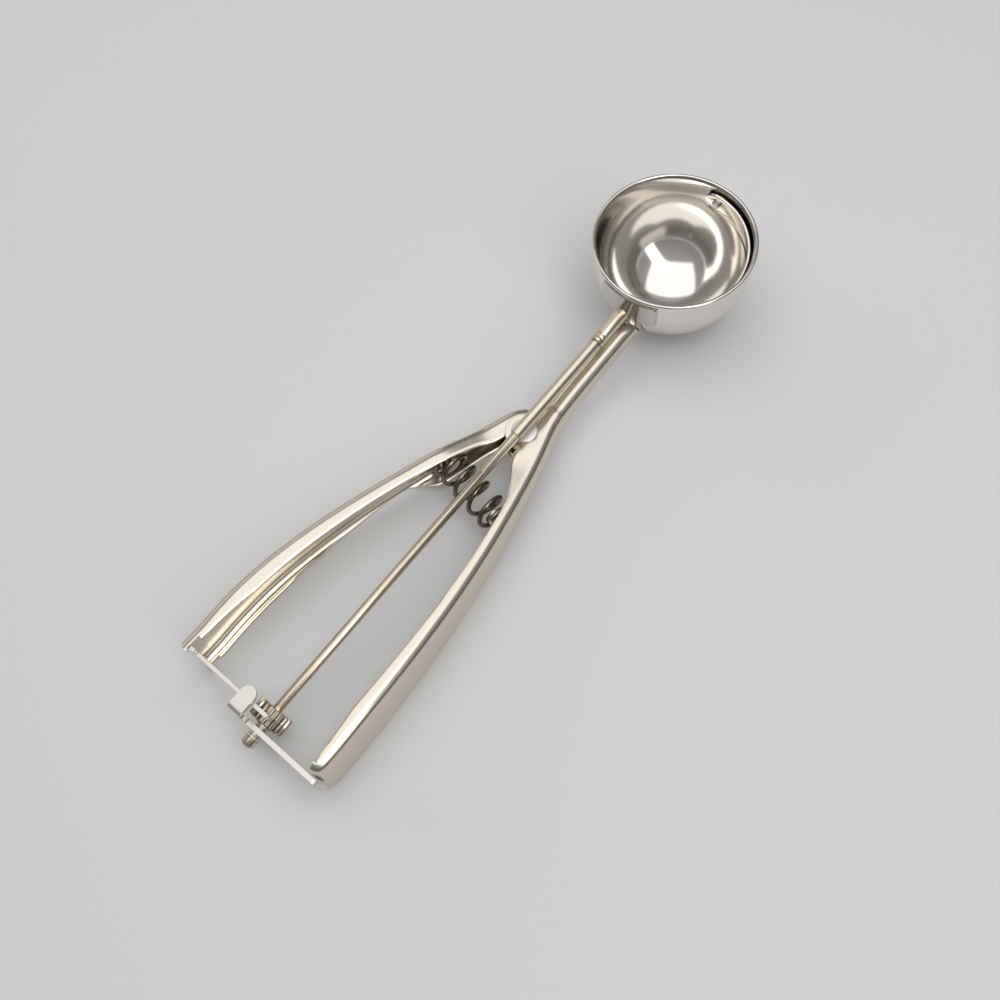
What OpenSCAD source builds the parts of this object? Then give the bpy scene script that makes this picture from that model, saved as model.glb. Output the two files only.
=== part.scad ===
// Squeeze-handle ice cream scoop. The shaft runs from the rack at the rear to the scraper
// in the bowl. Working coordinates: +Y along the tool to the bowl, +Z up, x = 0 on the shaft,
// y = 0 at the bowl's centre and z = 0 on the table; placed() moves the origin under the middle.

/* [Bowl] */
// Outer diameter of the bowl
bowl_d = 51; // [48:0.5:54]
// Sheet thickness of the bowl
bowl_wall = 0.9; // [0.7:0.05:1.2]
// Height of the straight collar above the half sphere
collar_h = 8; // [7:0.5:10]
// Thickness of the rolled rim
rim_d = 1.3; // [1:0.05:1.5]

/* [Scraper] */
// Width of the scraper blade
blade_w = 8.5; // [7:0.5:10]
// Thickness of the scraper blade
blade_t = 0.8; // [0.6:0.1:1]
// Gap between the blade and the inside of the bowl
blade_gap = 0.35; // [0.3:0.05:0.5]
// Diameter of the pin in the far wall of the bowl
far_pin_d = 2.8; // [2.4:0.1:3.2]
// Diameter of the far pin's head
far_head_d = 5.6; // [5:0.2:6.4]

/* [Shaft] */
// Diameter of the shaft
shaft_d = 3; // [2.8:0.05:3.2]
// Outer diameter of the sleeve on the front of the shaft
sleeve_d = 3.9; // [3.7:0.05:4.1]
// Distance along the shaft from the bowl's centre to the sleeve's rear end
sleeve_end = 79.5; // [70:0.5:84]
// Outer diameter of the thrust collar
collar_d = 4.6; // [4.3:0.1:5]
// Length of the thrust collar
collar_len = 1.2; // [1:0.1:1.6]

/* [Pinion and rack] */
// Number of teeth on the pinion
pinion_teeth = 14; // [13:1:15]
// Module of the teeth
tooth_module = 0.73; // [0.7:0.01:0.76]
// Length of the toothed part of the pinion
pinion_len = 5.5; // [5:0.1:6]
// Diameter of the pinion's journal
journal_d = 3.9; // [3.8:0.05:4.1]
// Length of the journal that stands out behind the support bar
journal_out = 4.6; // [4:0.1:5.4]
// Distance from the bowl's centre to the middle of the rack strip
rack_back = 189.45; // [184:0.5:194]
// Thickness of the rack strip
rack_t = 1.5; // [1.2:0.1:1.6]
// Depth of the rack strip's back below the top of the lever handle
rack_drop = 0.2; // [0.1:0.1:0.4]
// Width of the tab that hooks the rack to the lever handle
tab_w = 2.6; // [2.2:0.1:3]

/* [Support bar] */
// Thickness of the support bar
bar_t = 1.5; // [1.2:0.1:1.8]
// Height of the support bar
bar_h = 10.5; // [9:0.5:12]
// Width of the guide tongue over the rack
tongue_w = 4.6; // [4:0.1:5]
// Gap between the pinion and the support bar
bar_gap = 1.5; // [1:0.1:2]

/* [Handles] */
// Sheet thickness of both handles
sheet_t = 1.2; // [1:0.1:1.3]
// Outer radius of the pressed corners of the channels
corner_r = 3.2; // [2.8:0.1:3.4]
// Height of the channels at the rear
channel_h = 20.8; // [20.4:0.1:21.6]
// Height of the fixed channel at the pivot
waist_h = 10; // [9.6:0.1:10.2]
// Distance from the pivot back to where the grips have their full height
grip_back = 95; // [85:1:105]
// Width of the fixed handle's flanges along the grip
flange_w = 5.5; // [5:0.1:6]
// Width of the lever handle's flanges along the grip
lever_flange_w = 6.6; // [6.4:0.1:7]
// Width of the lever's upper flange at its rear end
tip_w = 4.2; // [3.6:0.1:5]
// Width of the lever's lower flange along the grip
low_flange_w = 4.4; // [4:0.1:5]
// Width of the lever's lower flange where it is cut back behind the spring
relief_w = 1; // [0.8:0.1:2]
// Distance from the shaft to the back of the lever handle at the rear
lever_spread = 32.2; // [31:0.2:34]
// Reach of the lever handle's curve at its belly
lever_belly = 36; // [33:0.2:38]
// Reach of the lever handle's curve at its neck
lever_neck = 23.8; // [22.4:0.2:26]
// Distance from the shaft to the back of the fixed handle at the rear
fixed_spread = 25.4; // [24.8:0.2:27]
// Reach of the fixed handle's curve at its belly
fixed_belly = 23.9; // [22:0.1:26]
// Reach of the fixed handle's curve at its neck
fixed_neck = 22.1; // [20:0.1:24]
// Distance from the pivot back to the bellies
belly_back = 74; // [70:1:80]
// Distance from the pivot back to the necks
neck_back = 39; // [35:1:44]
// Radius of the fixed handle's rounded toe in plan
toe_r = 4; // [3.6:0.1:4.4]
// Radius of the lever handle's rear corners in plan
heel_r = 3; // [2:0.1:3.4]
// Height of the shank's channel where it meets the bowl
shank_h = 7.7; // [7:0.1:8.4]
// Width of the shank's flanges
shank_w = 4.8; // [4.4:0.1:5.2]
// Distance from the shaft to the back of the shank
shank_side = 5.4; // [5.2:0.1:5.8]
// Gap between the shaft's axis and the top of the shank
shank_drop = 4.4; // [4.2:0.1:4.8]

/* [Pivot] */
// Distance from the bowl's centre to the pivot rivet
pivot_back = 75; // [72:0.5:77]
// Diameter of the rivet's shank
rivet_d = 4; // [3.6:0.1:4.4]
// Diameter of the rivet's heads
rivet_head_d = 8.5; // [8:0.1:9]
// Height of the rivet's heads
rivet_head_h = 1.3; // [1:0.1:1.4]
// Radius of the fixed handle's ears
ear_r = 6.2; // [5.8:0.1:6.4]
// Radius of the lever's ears under the fixed flanges
lever_ear_r = 5.6; // [5.2:0.1:5.8]
// Radius of the lever's rounded nose round the pivot
nose_r = 10.3; // [9.6:0.1:10.8]
// Angle that the lever handle turns through when it is squeezed
lever_sweep = 7.9; // [7:0.1:7.9]

/* [Return spring] */
// Diameter of the spring wire
wire_d = 1.4; // [1.2:0.1:1.5]
// Outer diameter of the spring
spring_d = 11; // [10.4:0.1:11.4]
// Number of turns
spring_turns = 5; // [4:1:6]
// Distance from the pivot back to the spring
spring_back = 24; // [22:0.5:26]
// Angle by which the spring is turned to stand square on the lever handle
spring_cant = 12; // [8:1:16]
// Diameter of the pegs that hold the spring's ends
peg_d = 5.8; // [5:0.1:6.2]
// Length of the pegs inside the spring
peg_len = 3.4; // [3:0.2:4]
// Thickness of the pegs' feet at their thin side
peg_foot = 0.5; // [0.4:0.1:1]

/* [Bowl saddle] */
// Thickness of the saddle plate
saddle_t = 1; // [0.8:0.1:1.2]
// Width of the saddle plate
saddle_w = 20; // [18:0.5:22]
// Height of the saddle plate's wings
saddle_h = 9; // [8:0.5:10]
// Outer diameter of the rolled barrel that guides the shaft
barrel_d = 4.6; // [4.3:0.1:4.8]
// Length of the rolled barrel behind the bowl
barrel_len = 13; // [10:0.5:15]

/* [Clearances] */
// Radial clearance of the round fits
run_gap = 0.05; // [0.03:0.01:0.08]
// Gap between pieces that lie side by side
seat_gap = 0.15; // [0.1:0.01:0.2]
// Gap between pieces that move past each other
move_gap = 0.35; // [0.3:0.01:0.4]

/* [Hidden] */
$fn = 64;
eps = 0.01;

// Bowl and shaft line
bowl_r = bowl_d / 2;
bowl_in = bowl_r - bowl_wall;
rim_z = bowl_r + collar_h;
mid_z = channel_h / 2;
shaft_tilt = atan((bowl_r - mid_z) / rack_back);
function axis_z(y) = bowl_r + y * tan(shaft_tilt);
shaft_bore = shaft_d / 2 + run_gap;

// Bowl saddle, and the stations along the shaft from the bowl's centre backwards
saddle_in = bowl_r + seat_gap;
saddle_out = saddle_in + saddle_t;
blade_out = bowl_in - blade_gap;
blade_in = blade_out - blade_t;
barrel_start = bowl_in - 0.1;
barrel_end = bowl_r + barrel_len;
collar_start = barrel_end + seat_gap;
sleeve_start = collar_start + collar_len + seat_gap;

// Gear pair: the rack's teeth hang from its lower edge onto the top of the pinion
pitch_r = pinion_teeth * tooth_module / 2;
addendum = 0.9 * tooth_module;
dedendum = 1.2 * tooth_module;
pressure = 20;
backlash = 0.14;
tooth_pitch = PI * tooth_module;
pinion_tip = pitch_r + addendum;
rack_y = -rack_back;
rack_rear = rack_y - rack_t / 2;
pitch_z = axis_z(rack_y) + pitch_r + 0.08;
root_z = pitch_z + dedendum;
rack_top = channel_h - rack_drop;
rack_tooth_count = 10;
rack_free_end = 3.3;
tab_end = 0.3;

// Pinion, support bar and journal, along Y
pinion_rear = rack_rear - 1.3;
bar_front = pinion_rear - bar_gap;
bar_rear = bar_front - bar_t;
function along(y) = -y / cos(shaft_tilt);
pinion_s = along(pinion_rear) - pinion_len;
journal_s = along(bar_rear) + journal_out;
ring_w = 0.9;
ring_s = along(bar_rear) + 1.1;
tip_out = 0.5;

// Channel profile along the handles
pivot_y = -pivot_back;
ear_top = mid_z + waist_h / 2;
lever_h = waist_h - 2 * sheet_t - 2 * seat_gap;

// Return spring: it lies between the channels' lips, under the shaft, and the channels are
// pressed deep enough to hold it
spring_y = pivot_y - spring_back;
spring_z = min(mid_z, axis_z(spring_y) - shaft_d / 2 - spring_d / 2 - move_gap);
spring_half = spring_d / 2 + mid_z - spring_z + sheet_t + move_gap;
coil_r = (spring_d - wire_d) / 2;

// Stations of the handles along Y
heel_y = rack_rear - move_gap - sheet_t;
toe_y = bar_front + 0.1;
flat_y = pivot_y - 9;
grip_y = pivot_y - grip_back;
shank_top = axis_z(-bowl_r) - shank_drop;
step_y = pivot_y + 11.5;
step_d = 0.4;
coin = 0.05;
eye_r = rivet_d / 2 + 0.9;

far_head_h = 1.0;
far_head_s = saddle_in / cos(shaft_tilt) + far_head_d / 2 * tan(shaft_tilt);

// Travel of the rack's tab inside the lever's slot when the lever is squeezed
tab_x = -lever_spread + sheet_t + 1.4 + tab_w / 2;
tab_dy = rack_y - pivot_y;
tab_end_x = (tab_x - tab_dy * sin(lever_sweep)) / cos(lever_sweep);
slot_run = -tab_end_x * sin(lever_sweep) + tab_dy * cos(lever_sweep) - tab_dy;

// Points of a cubic curve
function bez(p, t) = pow(1 - t, 3) * p[0] + 3 * t * pow(1 - t, 2) * p[1]
    + 3 * t * t * (1 - t) * p[2] + pow(t, 3) * p[3];
function bez_dir(p, t) = let (d = pow(1 - t, 2) * (p[1] - p[0])
    + 2 * t * (1 - t) * (p[2] - p[1]) + t * t * (p[3] - p[2])) d / norm(d);

// Backs of the handles in plan. side is -1 for the lever and +1 for the fixed handle.
lean = 19;
nose_start = [-nose_r * cos(lean), pivot_y + nose_r * sin(lean)];
lever_curve = [[-lever_spread, heel_y + 9], [-lever_belly, pivot_y - belly_back],
    [-lever_neck, pivot_y - neck_back], nose_start];
fixed_curve = [[fixed_spread, toe_y + 9], [fixed_belly, pivot_y - belly_back],
    [fixed_neck, pivot_y - neck_back], [shank_side + 1.6, pivot_y + 7]];
shank_curve = [fixed_curve[3], [shank_side - 0.2, pivot_y + 13], [shank_side, pivot_y + 25],
    [shank_side, -bowl_r + 5]];

// Height and flange width of each channel at a place along the handle
function lever_half(y) = lookup(y, [[grip_y, channel_h / 2], [spring_y - 8, spring_half],
    [spring_y + 8, spring_half], [pivot_y - 7.5, lever_h / 2]]);
function lever_w(y) = lookup(y, [[heel_y, tip_w], [heel_y + 9, tip_w + 0.6],
    [heel_y + 26, lever_flange_w], [pivot_y - 46, lever_flange_w - 1.2],
    [pivot_y - 34, lever_flange_w - 1.4], [pivot_y - 20, lever_flange_w - 0.7],
    [pivot_y - 10, lever_flange_w - 0.5], [pivot_y - 6, nose_r - eye_r]]);
// The lower flange narrows along the grip and is cut back just behind the spring
function lever_low_w(y) = lookup(y, [[heel_y + 38, low_flange_w], [heel_y + 52, low_flange_w - 1.3],
    [spring_y - 16, relief_w], [spring_y - 9, relief_w], [spring_y - 2, lever_flange_w],
    [pivot_y - 6, nose_r - eye_r]]);
function fixed_half(y) = lookup(y, [[grip_y, channel_h / 2], [spring_y - 8, spring_half],
    [spring_y + 6, spring_half], [flat_y, waist_h / 2], [step_y, waist_h / 2],
    [-bowl_r, shank_h / 2]]);
function fixed_mid(y) = lookup(y, [[step_y - 2, mid_z], [-bowl_r, shank_top - shank_h / 2]]);
toe_w = toe_r - 0.6;
function fixed_w(y) = lookup(y, [[toe_y + toe_r, toe_w], [toe_y + 20, flange_w],
    [pivot_y - 75, flange_w - 0.5], [pivot_y - 55, flange_w - 1.2], [pivot_y - 43, flange_w - 1.6],
    [pivot_y - 25, flange_w - 1.5], [pivot_y - 19, flange_w - 0.8], [pivot_y - 10, flange_w + 2.1],
    [pivot_y - 6.5, flange_w + 3.1], [pivot_y - 1, flange_w + 1.5], [pivot_y + 4, flange_w - 0.2],
    [step_y, shank_w]]);

// A station is [x, y, inward x, inward y, half height, middle height, upper flange, lower flange]
function lever_at(p, d) = [p[0], p[1], d[1], -d[0], lever_half(p[1]), mid_z,
    lever_w(p[1]), lever_low_w(p[1])];
function fixed_at(p, d, s = 0) = let (w = fixed_w(p[1]) - s)
    [p[0] - s, p[1], -d[1], d[0], fixed_half(p[1]) - s, fixed_mid(p[1]), w, w];
lever_path = concat(
    [lever_at([-lever_spread, heel_y], [0, 1])],
    [for (i = [0 : 22]) lever_at(bez(lever_curve, i / 22), bez_dir(lever_curve, i / 22))],
    [for (a = [lean + 10 : 11 : 80]) [-nose_r * cos(a), pivot_y + nose_r * sin(a), cos(a), -sin(a),
        lever_h / 2, mid_z, nose_r - eye_r, nose_r - eye_r]]);
toe_x = fixed_spread - toe_r;
toe_c = toe_y + toe_r;
fixed_path = concat(
    [for (a = [90 : -15 : 0]) [toe_x + toe_r * cos(a), toe_c - toe_r * sin(a), -cos(a), sin(a),
        channel_h / 2, mid_z, toe_w, toe_w]],
    [for (i = [0 : 21]) fixed_at(bez(fixed_curve, i / 22), bez_dir(fixed_curve, i / 22))],
    [for (i = [0 : 8]) let (p = bez(shank_curve, i / 8), s = p[1] < step_y ? 0 : step_d)
        fixed_at(p, bez_dir(shank_curve, i / 8), s)]);

// The origin lies under the middle of the tool's box
left_reach = min([for (s = lever_path) s[0]]);
right_reach = max(bowl_r + rim_d / 2, max([for (s = fixed_path) s[0]]));
rear_reach = -(journal_s + tip_out) * cos(shaft_tilt);
front_reach = (far_head_s + far_head_h) * cos(shaft_tilt);
frame_x = -(left_reach + right_reach) / 2;
frame_y = -(rear_reach + front_reach) / 2;
module placed() { translate([frame_x, frame_y, 0]) children(); }

// Draws along the shaft: +Z of the child points to the rear, s is the distance from the bowl's centre
module on_shaft(s = 0) {
    translate([0, 0, bowl_r]) rotate([90 + shaft_tilt, 0, 0]) translate([0, 0, s]) children();
}

// A round bar or tube on the shaft's axis from s0 to s1
module shaft_tube(s0, s1, r, bore = 0) {
    on_shaft(s0) difference() {
        cylinder(r = r, h = s1 - s0);
        if (bore > 0) translate([0, 0, -1]) cylinder(r = bore, h = s1 - s0 + 2);
    }
}

// Section of a pressed channel with rounded corners and flanges w and low_w wide: u is measured
// inwards and v upwards. A lower flange narrower than the corner ends part of the way round it.
lip = 0.2;
function low_corner(h, R, r, low_w, i) = let (span = low_w < r ? acos(1 - low_w / r) : 90,
    a = 180 + span * min(i, 4) / 4, run = i > 4 ? max(low_w - r, lip) : 0)
    [r + R * cos(a) - run * sin(a), r - h + R * sin(a) + run * cos(a)];
function channel_ring(h, w, low_w, t, r) = concat(
    [[w, h]], [for (a = [90 : 22.5 : 180]) [r + r * cos(a), h - r + r * sin(a)]],
    [for (i = [0 : 5]) low_corner(h, r, r, low_w, i)],
    [for (i = [5 : -1 : 0]) low_corner(h, r - t, r, low_w, i)],
    [for (a = [180 : -22.5 : 90]) [r + (r - t) * cos(a), h - r + (r - t) * sin(a)]], [[w, h - t]]);

// Carries the channel's section along the stations of a path
module channel(path, mirrored) {
    rings = [for (s = path) [for (q = channel_ring(s[4], s[6], s[7], sheet_t, corner_r))
        [s[0] + q[0] * s[2], s[1] + q[0] * s[3], s[5] + q[1]]]];
    n = len(rings[0]);
    last = len(path) - 1;
    sides = [for (i = [0 : last - 1]) for (j = [0 : n - 1])
        let (a = i * n + j, b = i * n + (j + 1) % n)
        each [[a, b, b + n], [a, b + n, a + n]]];
    caps = [for (j = [0 : n / 2 - 2]) let (k = n - 1 - j, e = last * n)
        each [[j, k, j + 1], [j + 1, k, k - 1], [e + j, e + j + 1, e + k], [e + j + 1, e + k - 1, e + k]]];
    faces = concat(sides, caps);
    polyhedron([for (r = rings) each r], mirrored ? [for (f = faces) [f[2], f[1], f[0]]] : faces,
        convexity = 8);
}

// A pair of coined ears, one over and one under the pivot, in flanges whose outer faces
// stand at mid_z +/- half
module ears(r, half) {
    for (z = [mid_z + half - sheet_t, mid_z - half])
        translate([0, pivot_y, z + coin]) cylinder(r = r, h = sheet_t - 2 * coin);
}

// Bore for the rivet through both ears
module rivet_bore() {
    translate([0, pivot_y, -1]) cylinder(r = rivet_d / 2 + run_gap, h = channel_h + 2);
}

module bowl_form(r) {
    translate([0, 0, bowl_r]) sphere(r = r, $fn = 128);
    translate([0, 0, bowl_r]) cylinder(r = r, h = collar_h + 20, $fn = 128);
}

module bowl() {
    color("#d9d3c8") placed() difference() {
        union() {
            difference() {
                bowl_form(bowl_r);
                bowl_form(bowl_in);
                translate([0, 0, rim_z - rim_d / 2 + bowl_d]) cube(2 * bowl_d, center = true);
            }
            translate([0, 0, rim_z - rim_d / 2]) rotate_extrude($fn = 128)
                translate([bowl_r, 0]) circle(d = rim_d, $fn = 24);
        }
        shaft_tube(bowl_in - 2, bowl_r + 2, barrel_d / 2 + run_gap);
        shaft_tube(-bowl_r - 2, -bowl_in + 2, far_pin_d / 2 + run_gap);
    }
}

// Outline of the saddle seen from behind: two wings under the rim and a root down to the shank
wing_x = 1;
wing_r = 1.5;
root_w = shank_w + 1.8;
module saddle_outline() {
    top = rim_z - rim_d - 2 * seat_gap;
    foot = shank_top - shank_h;
    translate([wing_x - saddle_w / 2, top - saddle_h]) square([saddle_w, saddle_h - wing_r]);
    translate([wing_x - saddle_w / 2 + wing_r, top - wing_r]) square([saddle_w - 2 * wing_r, wing_r]);
    for (s = [-1, 1])
        translate([wing_x + s * (saddle_w / 2 - wing_r), top - wing_r]) circle(r = wing_r);
    translate([shank_side + 0.6 - root_w, foot]) square([root_w, top - saddle_h / 2 - foot]);
}

module bowl_saddle() {
    color("#a8a298") placed() difference() {
        union() {
            intersection() {
                difference() {
                    bowl_form(saddle_out);
                    bowl_form(saddle_in);
                }
                rotate([90, 0, 0]) linear_extrude(2 * bowl_r) saddle_outline();
            }
            shaft_tube(barrel_start, barrel_end, barrel_d / 2);
        }
        shaft_tube(barrel_start - 1, barrel_end + 1, shaft_bore);
    }
}

module far_pivot_pin() {
    color("#c9c3b8") placed() on_shaft() mirror([0, 0, 1]) {
        translate([0, 0, blade_in - 1]) cylinder(d = far_pin_d, h = far_head_s + 0.2 - blade_in + 1);
        translate([0, 0, far_head_s]) rotate_extrude() intersection() {
            scale([1, 0.4]) circle(d = far_head_d);
            square([far_head_d, far_head_h]);
        }
    }
}

// Half band inside the bowl, with a round eye at each pole
module scraper_blade() {
    color("#d2ccc0") placed() on_shaft() difference() {
        intersection() {
            difference() {
                sphere(r = blade_out, $fn = 128);
                sphere(r = blade_in, $fn = 128);
            }
            union() {
                translate([0, -blade_w / 2, -bowl_r]) cube([bowl_r, blade_w, 2 * bowl_r]);
                translate([0, 0, -bowl_r]) cylinder(d = blade_w, h = 2 * bowl_r);
            }
        }
        cylinder(r = shaft_bore, h = bowl_r);
        mirror([0, 0, 1]) cylinder(r = far_pin_d / 2 + run_gap, h = bowl_r);
    }
}

// Rod with a peened head inside the blade and a domed tip behind the journal
module shaft() {
    head_s = blade_in - 0.9;
    color("#b9b2a4") placed() on_shaft() {
        translate([0, 0, head_s]) cylinder(d = shaft_d, h = journal_s - head_s);
        translate([0, 0, head_s]) cylinder(r = shaft_d / 2 + 0.8, h = 0.6);
        translate([0, 0, journal_s]) rotate_extrude() intersection() {
            scale([1, 2 * tip_out / shaft_d]) circle(d = shaft_d);
            square([shaft_d, tip_out]);
        }
    }
}

module shaft_sleeve() {
    color("#c4bdaf") placed() shaft_tube(sleeve_start, sleeve_end, sleeve_d / 2, shaft_bore);
}

module thrust_collar() {
    color("#d0cabd") placed() shaft_tube(collar_start, collar_start + collar_len, collar_d / 2, shaft_bore);
}

// Flank of an involute tooth: half angle at radius r, narrowed by the backlash
base_r = pitch_r * cos(pressure);
function inv(a) = tan(a) * 180 / PI - a;
function half_angle(r) = 90 / pinion_teeth - backlash / 2 / pitch_r * 180 / PI
    + inv(pressure) - inv(acos(min(1, base_r / r)));
pinion_root = pitch_r - dedendum;
pinion_flank = [for (i = [0 : 4]) max(pinion_root + 0.05, base_r) + i * (pinion_tip - base_r) / 4.02];
function tooth_at(k) = 90 + (k + 0.5) * 360 / pinion_teeth;
function pinion_side(k, s) = [for (r = pinion_flank) let (a = tooth_at(k) - s * half_angle(r))
    r * [cos(a), sin(a)]];
function root_point(k, s) = let (a = tooth_at(k) - s * half_angle(base_r))
    pinion_root * [cos(a), sin(a)];
function backwards(l) = [for (i = [len(l) - 1 : -1 : 0]) l[i]];
function pinion_tooth(k) = concat([root_point(k, 1)], pinion_side(k, 1),
    backwards(pinion_side(k, -1)), [root_point(k, -1)]);

module pinion() {
    color("#9c968b") placed() on_shaft() difference() {
        union() {
            translate([0, 0, pinion_s]) linear_extrude(pinion_len)
                polygon([for (k = [0 : pinion_teeth - 1]) each pinion_tooth(k)]);
            translate([0, 0, pinion_s + pinion_len]) {
                cylinder(d = journal_d + 1.6, h = 0.6);
                cylinder(d = journal_d, h = journal_s - pinion_s - pinion_len);
            }
        }
        translate([0, 0, ring_s]) difference() {
            cylinder(d = journal_d + 2, h = ring_w + 0.1);
            translate([0, 0, -1]) cylinder(d = journal_d - 0.5, h = ring_w + 2);
        }
        translate([0, 0, pinion_s - 1]) cylinder(r = shaft_bore, h = journal_s - pinion_s + 2);
    }
}

// Ring in the journal's groove that keeps the pinion in the support bar
module retaining_ring() {
    color("#c0b9ab") placed() on_shaft(ring_s + 0.05) difference() {
        cylinder(d = journal_d + 1.1, h = ring_w);
        translate([0, 0, -1]) cylinder(r = (journal_d - 0.5) / 2 + run_gap, h = ring_w + 2);
    }
}

// Teeth of the rack as seen from the front, tips down
function rack_tooth(k) = let (c = -k * tooth_pitch, half = tooth_pitch / 4 - backlash / 2,
    up = half + dedendum * tan(pressure), down = half - addendum * tan(pressure))
    [[c + up, root_z], [c + down, pitch_z - addendum], [c - down, pitch_z - addendum], [c - up, root_z]];

module rack_outline() {
    left = tab_x - tab_w / 2;
    right = left + tab_w;
    deep_x = right + 0.6;
    low = sheet_t + move_gap;
    high = channel_h - low;
    polygon(concat(
        [[right, low], [right, tab_end], [left, tab_end], [left, channel_h - tab_end],
            [right, channel_h - tab_end], [right, high], [deep_x, high], [deep_x + 0.8, rack_top],
            [rack_free_end - 0.8, rack_top], [rack_free_end, rack_top - 0.8], [rack_free_end, root_z]],
        [for (k = [-1 : rack_tooth_count - 2]) each rack_tooth(k)],
        [[deep_x + 2.4, root_z], [deep_x + 0.7, root_z - 2], [deep_x, root_z - 4.5], [deep_x, low]]));
}

module rack() {
    color("#cfc9be") placed() translate([0, rack_y + rack_t / 2, 0]) rotate([90, 0, 0])
        linear_extrude(rack_t) rack_outline();
}

// Bar across the rear: it carries the journal, and its tongue keeps the rack down on the pinion
tongue_x = -pinion_tip - 0.2;
tongue_z = rack_top + move_gap;
tongue_left = tongue_x - tongue_w / 2;
tongue_y = rack_y + rack_t / 2 + 0.4;
bend_r = bar_t + 0.4;
bend_z = tongue_z + bar_t - bend_r;
bar_hole_z = axis_z(bar_front - bar_t / 2);
bar_end = fixed_spread - 0.6;
bar_r = 2;
arm_h = 5;

// Rear view of the bar: round boss, straight arm with rounded corners, and a neck to the tongue
module bar_outline() {
    low = bar_hole_z - bar_h / 2;
    translate([0, bar_hole_z]) circle(d = bar_h);
    translate([0, low]) square([bar_end - bar_r, bar_h]);
    translate([bar_end - bar_r, low + bar_r]) square([bar_r, bar_h - 2 * bar_r]);
    for (z = [-1, 1])
        translate([bar_end - bar_r, bar_hole_z + z * (bar_h / 2 - bar_r)]) circle(r = bar_r);
    translate([tongue_left, bar_hole_z - arm_h / 2]) square([-tongue_left, arm_h]);
}

// Side view of the tongue: up from the bar, round the bend and forward over the rack
module tongue_profile() {
    translate([bar_rear, bar_hole_z]) square([bar_t, bend_z - bar_hole_z]);
    translate([bar_rear + bend_r, tongue_z]) square([tongue_y - bar_rear - bend_r, bar_t]);
    translate([bar_rear + bend_r, bend_z]) intersection() {
        difference() {
            circle(r = bend_r);
            circle(r = bend_r - bar_t);
        }
        translate([-bend_r, 0]) square(bend_r);
    }
}

module support_bar() {
    color("#cbc5b9") placed() difference() {
        union() {
            translate([0, bar_front, 0]) rotate([90, 0, 0]) linear_extrude(bar_t) bar_outline();
            translate([tongue_left, 0, 0]) rotate([90, 0, 90]) linear_extrude(tongue_w) tongue_profile();
            translate([tongue_x, tongue_y, tongue_z]) cylinder(d = tongue_w, h = bar_t);
        }
        shaft_tube(along(bar_front) - 3, along(bar_rear) + 3, journal_d / 2 + run_gap);
    }
}

module fixed_handle() {
    color("#cdc7bc") placed() difference() {
        union() {
            channel(fixed_path, true);
            ears(ear_r, waist_h / 2);
        }
        rivet_bore();
        translate([0, 0, bowl_r]) sphere(r = saddle_out + seat_gap, $fn = 128);
    }
}

module lever_handle() {
    cut = heel_r + 2;
    color("#d4cfc5") placed() difference() {
        union() {
            channel(lever_path, false);
            ears(lever_ear_r, lever_h / 2);
        }
        rivet_bore();
        // slots that the rack's tabs reach through
        translate([tab_x - tab_w / 2 - move_gap, rack_rear - move_gap, -1])
            cube([tab_w + 2 * move_gap, rack_t + slot_run + 2 * move_gap, channel_h + 2]);
        // only the upper flange reaches behind the rack: the web and the lower flange stop at it
        translate([-lever_spread - 1, heel_y - 1, -1])
            cube([lever_flange_w + 2, rack_y - heel_y + 1, channel_h - 2 * sheet_t + 1]);
        // rounded heel in plan
        translate([-lever_spread, heel_y, -1]) difference() {
            translate([-2, -2, 0]) cube([heel_r + 2, heel_r + 2, channel_h + 2]);
            translate([heel_r, heel_r, -1]) cylinder(r = heel_r, h = channel_h + 4);
        }
    }
}

// Half profile of a domed rivet head, flat side down
module rivet_head() {
    rotate_extrude() intersection() {
        scale([1, 2 * rivet_head_h / rivet_head_d]) circle(d = rivet_head_d, $fn = 96);
        square(rivet_head_d);
    }
}

module pivot_rivet() {
    top = ear_top + seat_gap;
    color("#e0dbd2") placed() translate([0, pivot_y, 0]) {
        translate([0, 0, 2 * mid_z - top]) cylinder(d = rivet_d, h = 2 * (top - mid_z));
        translate([0, 0, top]) rivet_head();
        translate([0, 0, 2 * mid_z - top]) mirror([0, 0, 1]) rivet_head();
    }
}

module pivot_spacer() {
    h = lever_h - 2 * sheet_t - 2 * seat_gap;
    color("#9a948a") placed() translate([0, pivot_y, mid_z - h / 2]) difference() {
        cylinder(r = rivet_d / 2 + 1.2, h = h);
        translate([0, 0, -1]) cylinder(r = rivet_d / 2 + run_gap, h = h + 2);
    }
}

// Draws in the spring's own frame: +X runs along the spring to the fixed handle
module at_spring() {
    translate([0, spring_y, spring_z]) rotate([0, 0, -spring_cant]) children();
}

// Where the spring's axis meets the back of a channel, and how much that back leans there
function back_x(path, y) = lookup(y, [for (s = path) if (s[1] > heel_y + 8) [s[1], s[0]]]);
function back_at(path, u, n = 5) = n == 0 ? u
    : back_at(path, back_x(path, spring_y - u * sin(spring_cant)) / cos(spring_cant), n - 1);
function back_slope(path, y) = atan((back_x(path, y + 4) - back_x(path, y - 4)) / 8);
lever_back = back_at(lever_path, 0);
fixed_back = back_at(fixed_path, 0);
lever_slope = back_slope(lever_path, spring_y - lever_back * sin(spring_cant)) - spring_cant;
fixed_slope = back_slope(fixed_path, spring_y - fixed_back * sin(spring_cant)) - spring_cant;
peg_base_d = spring_d - wire_d;
function seat_at(back, slope, side) = back + side * (sheet_t / cos(slope) + move_gap
    + peg_base_d / 2 * abs(tan(slope)) + peg_foot);
lever_seat = seat_at(lever_back, lever_slope, 1);
fixed_seat = seat_at(fixed_back, fixed_slope, -1);

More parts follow.
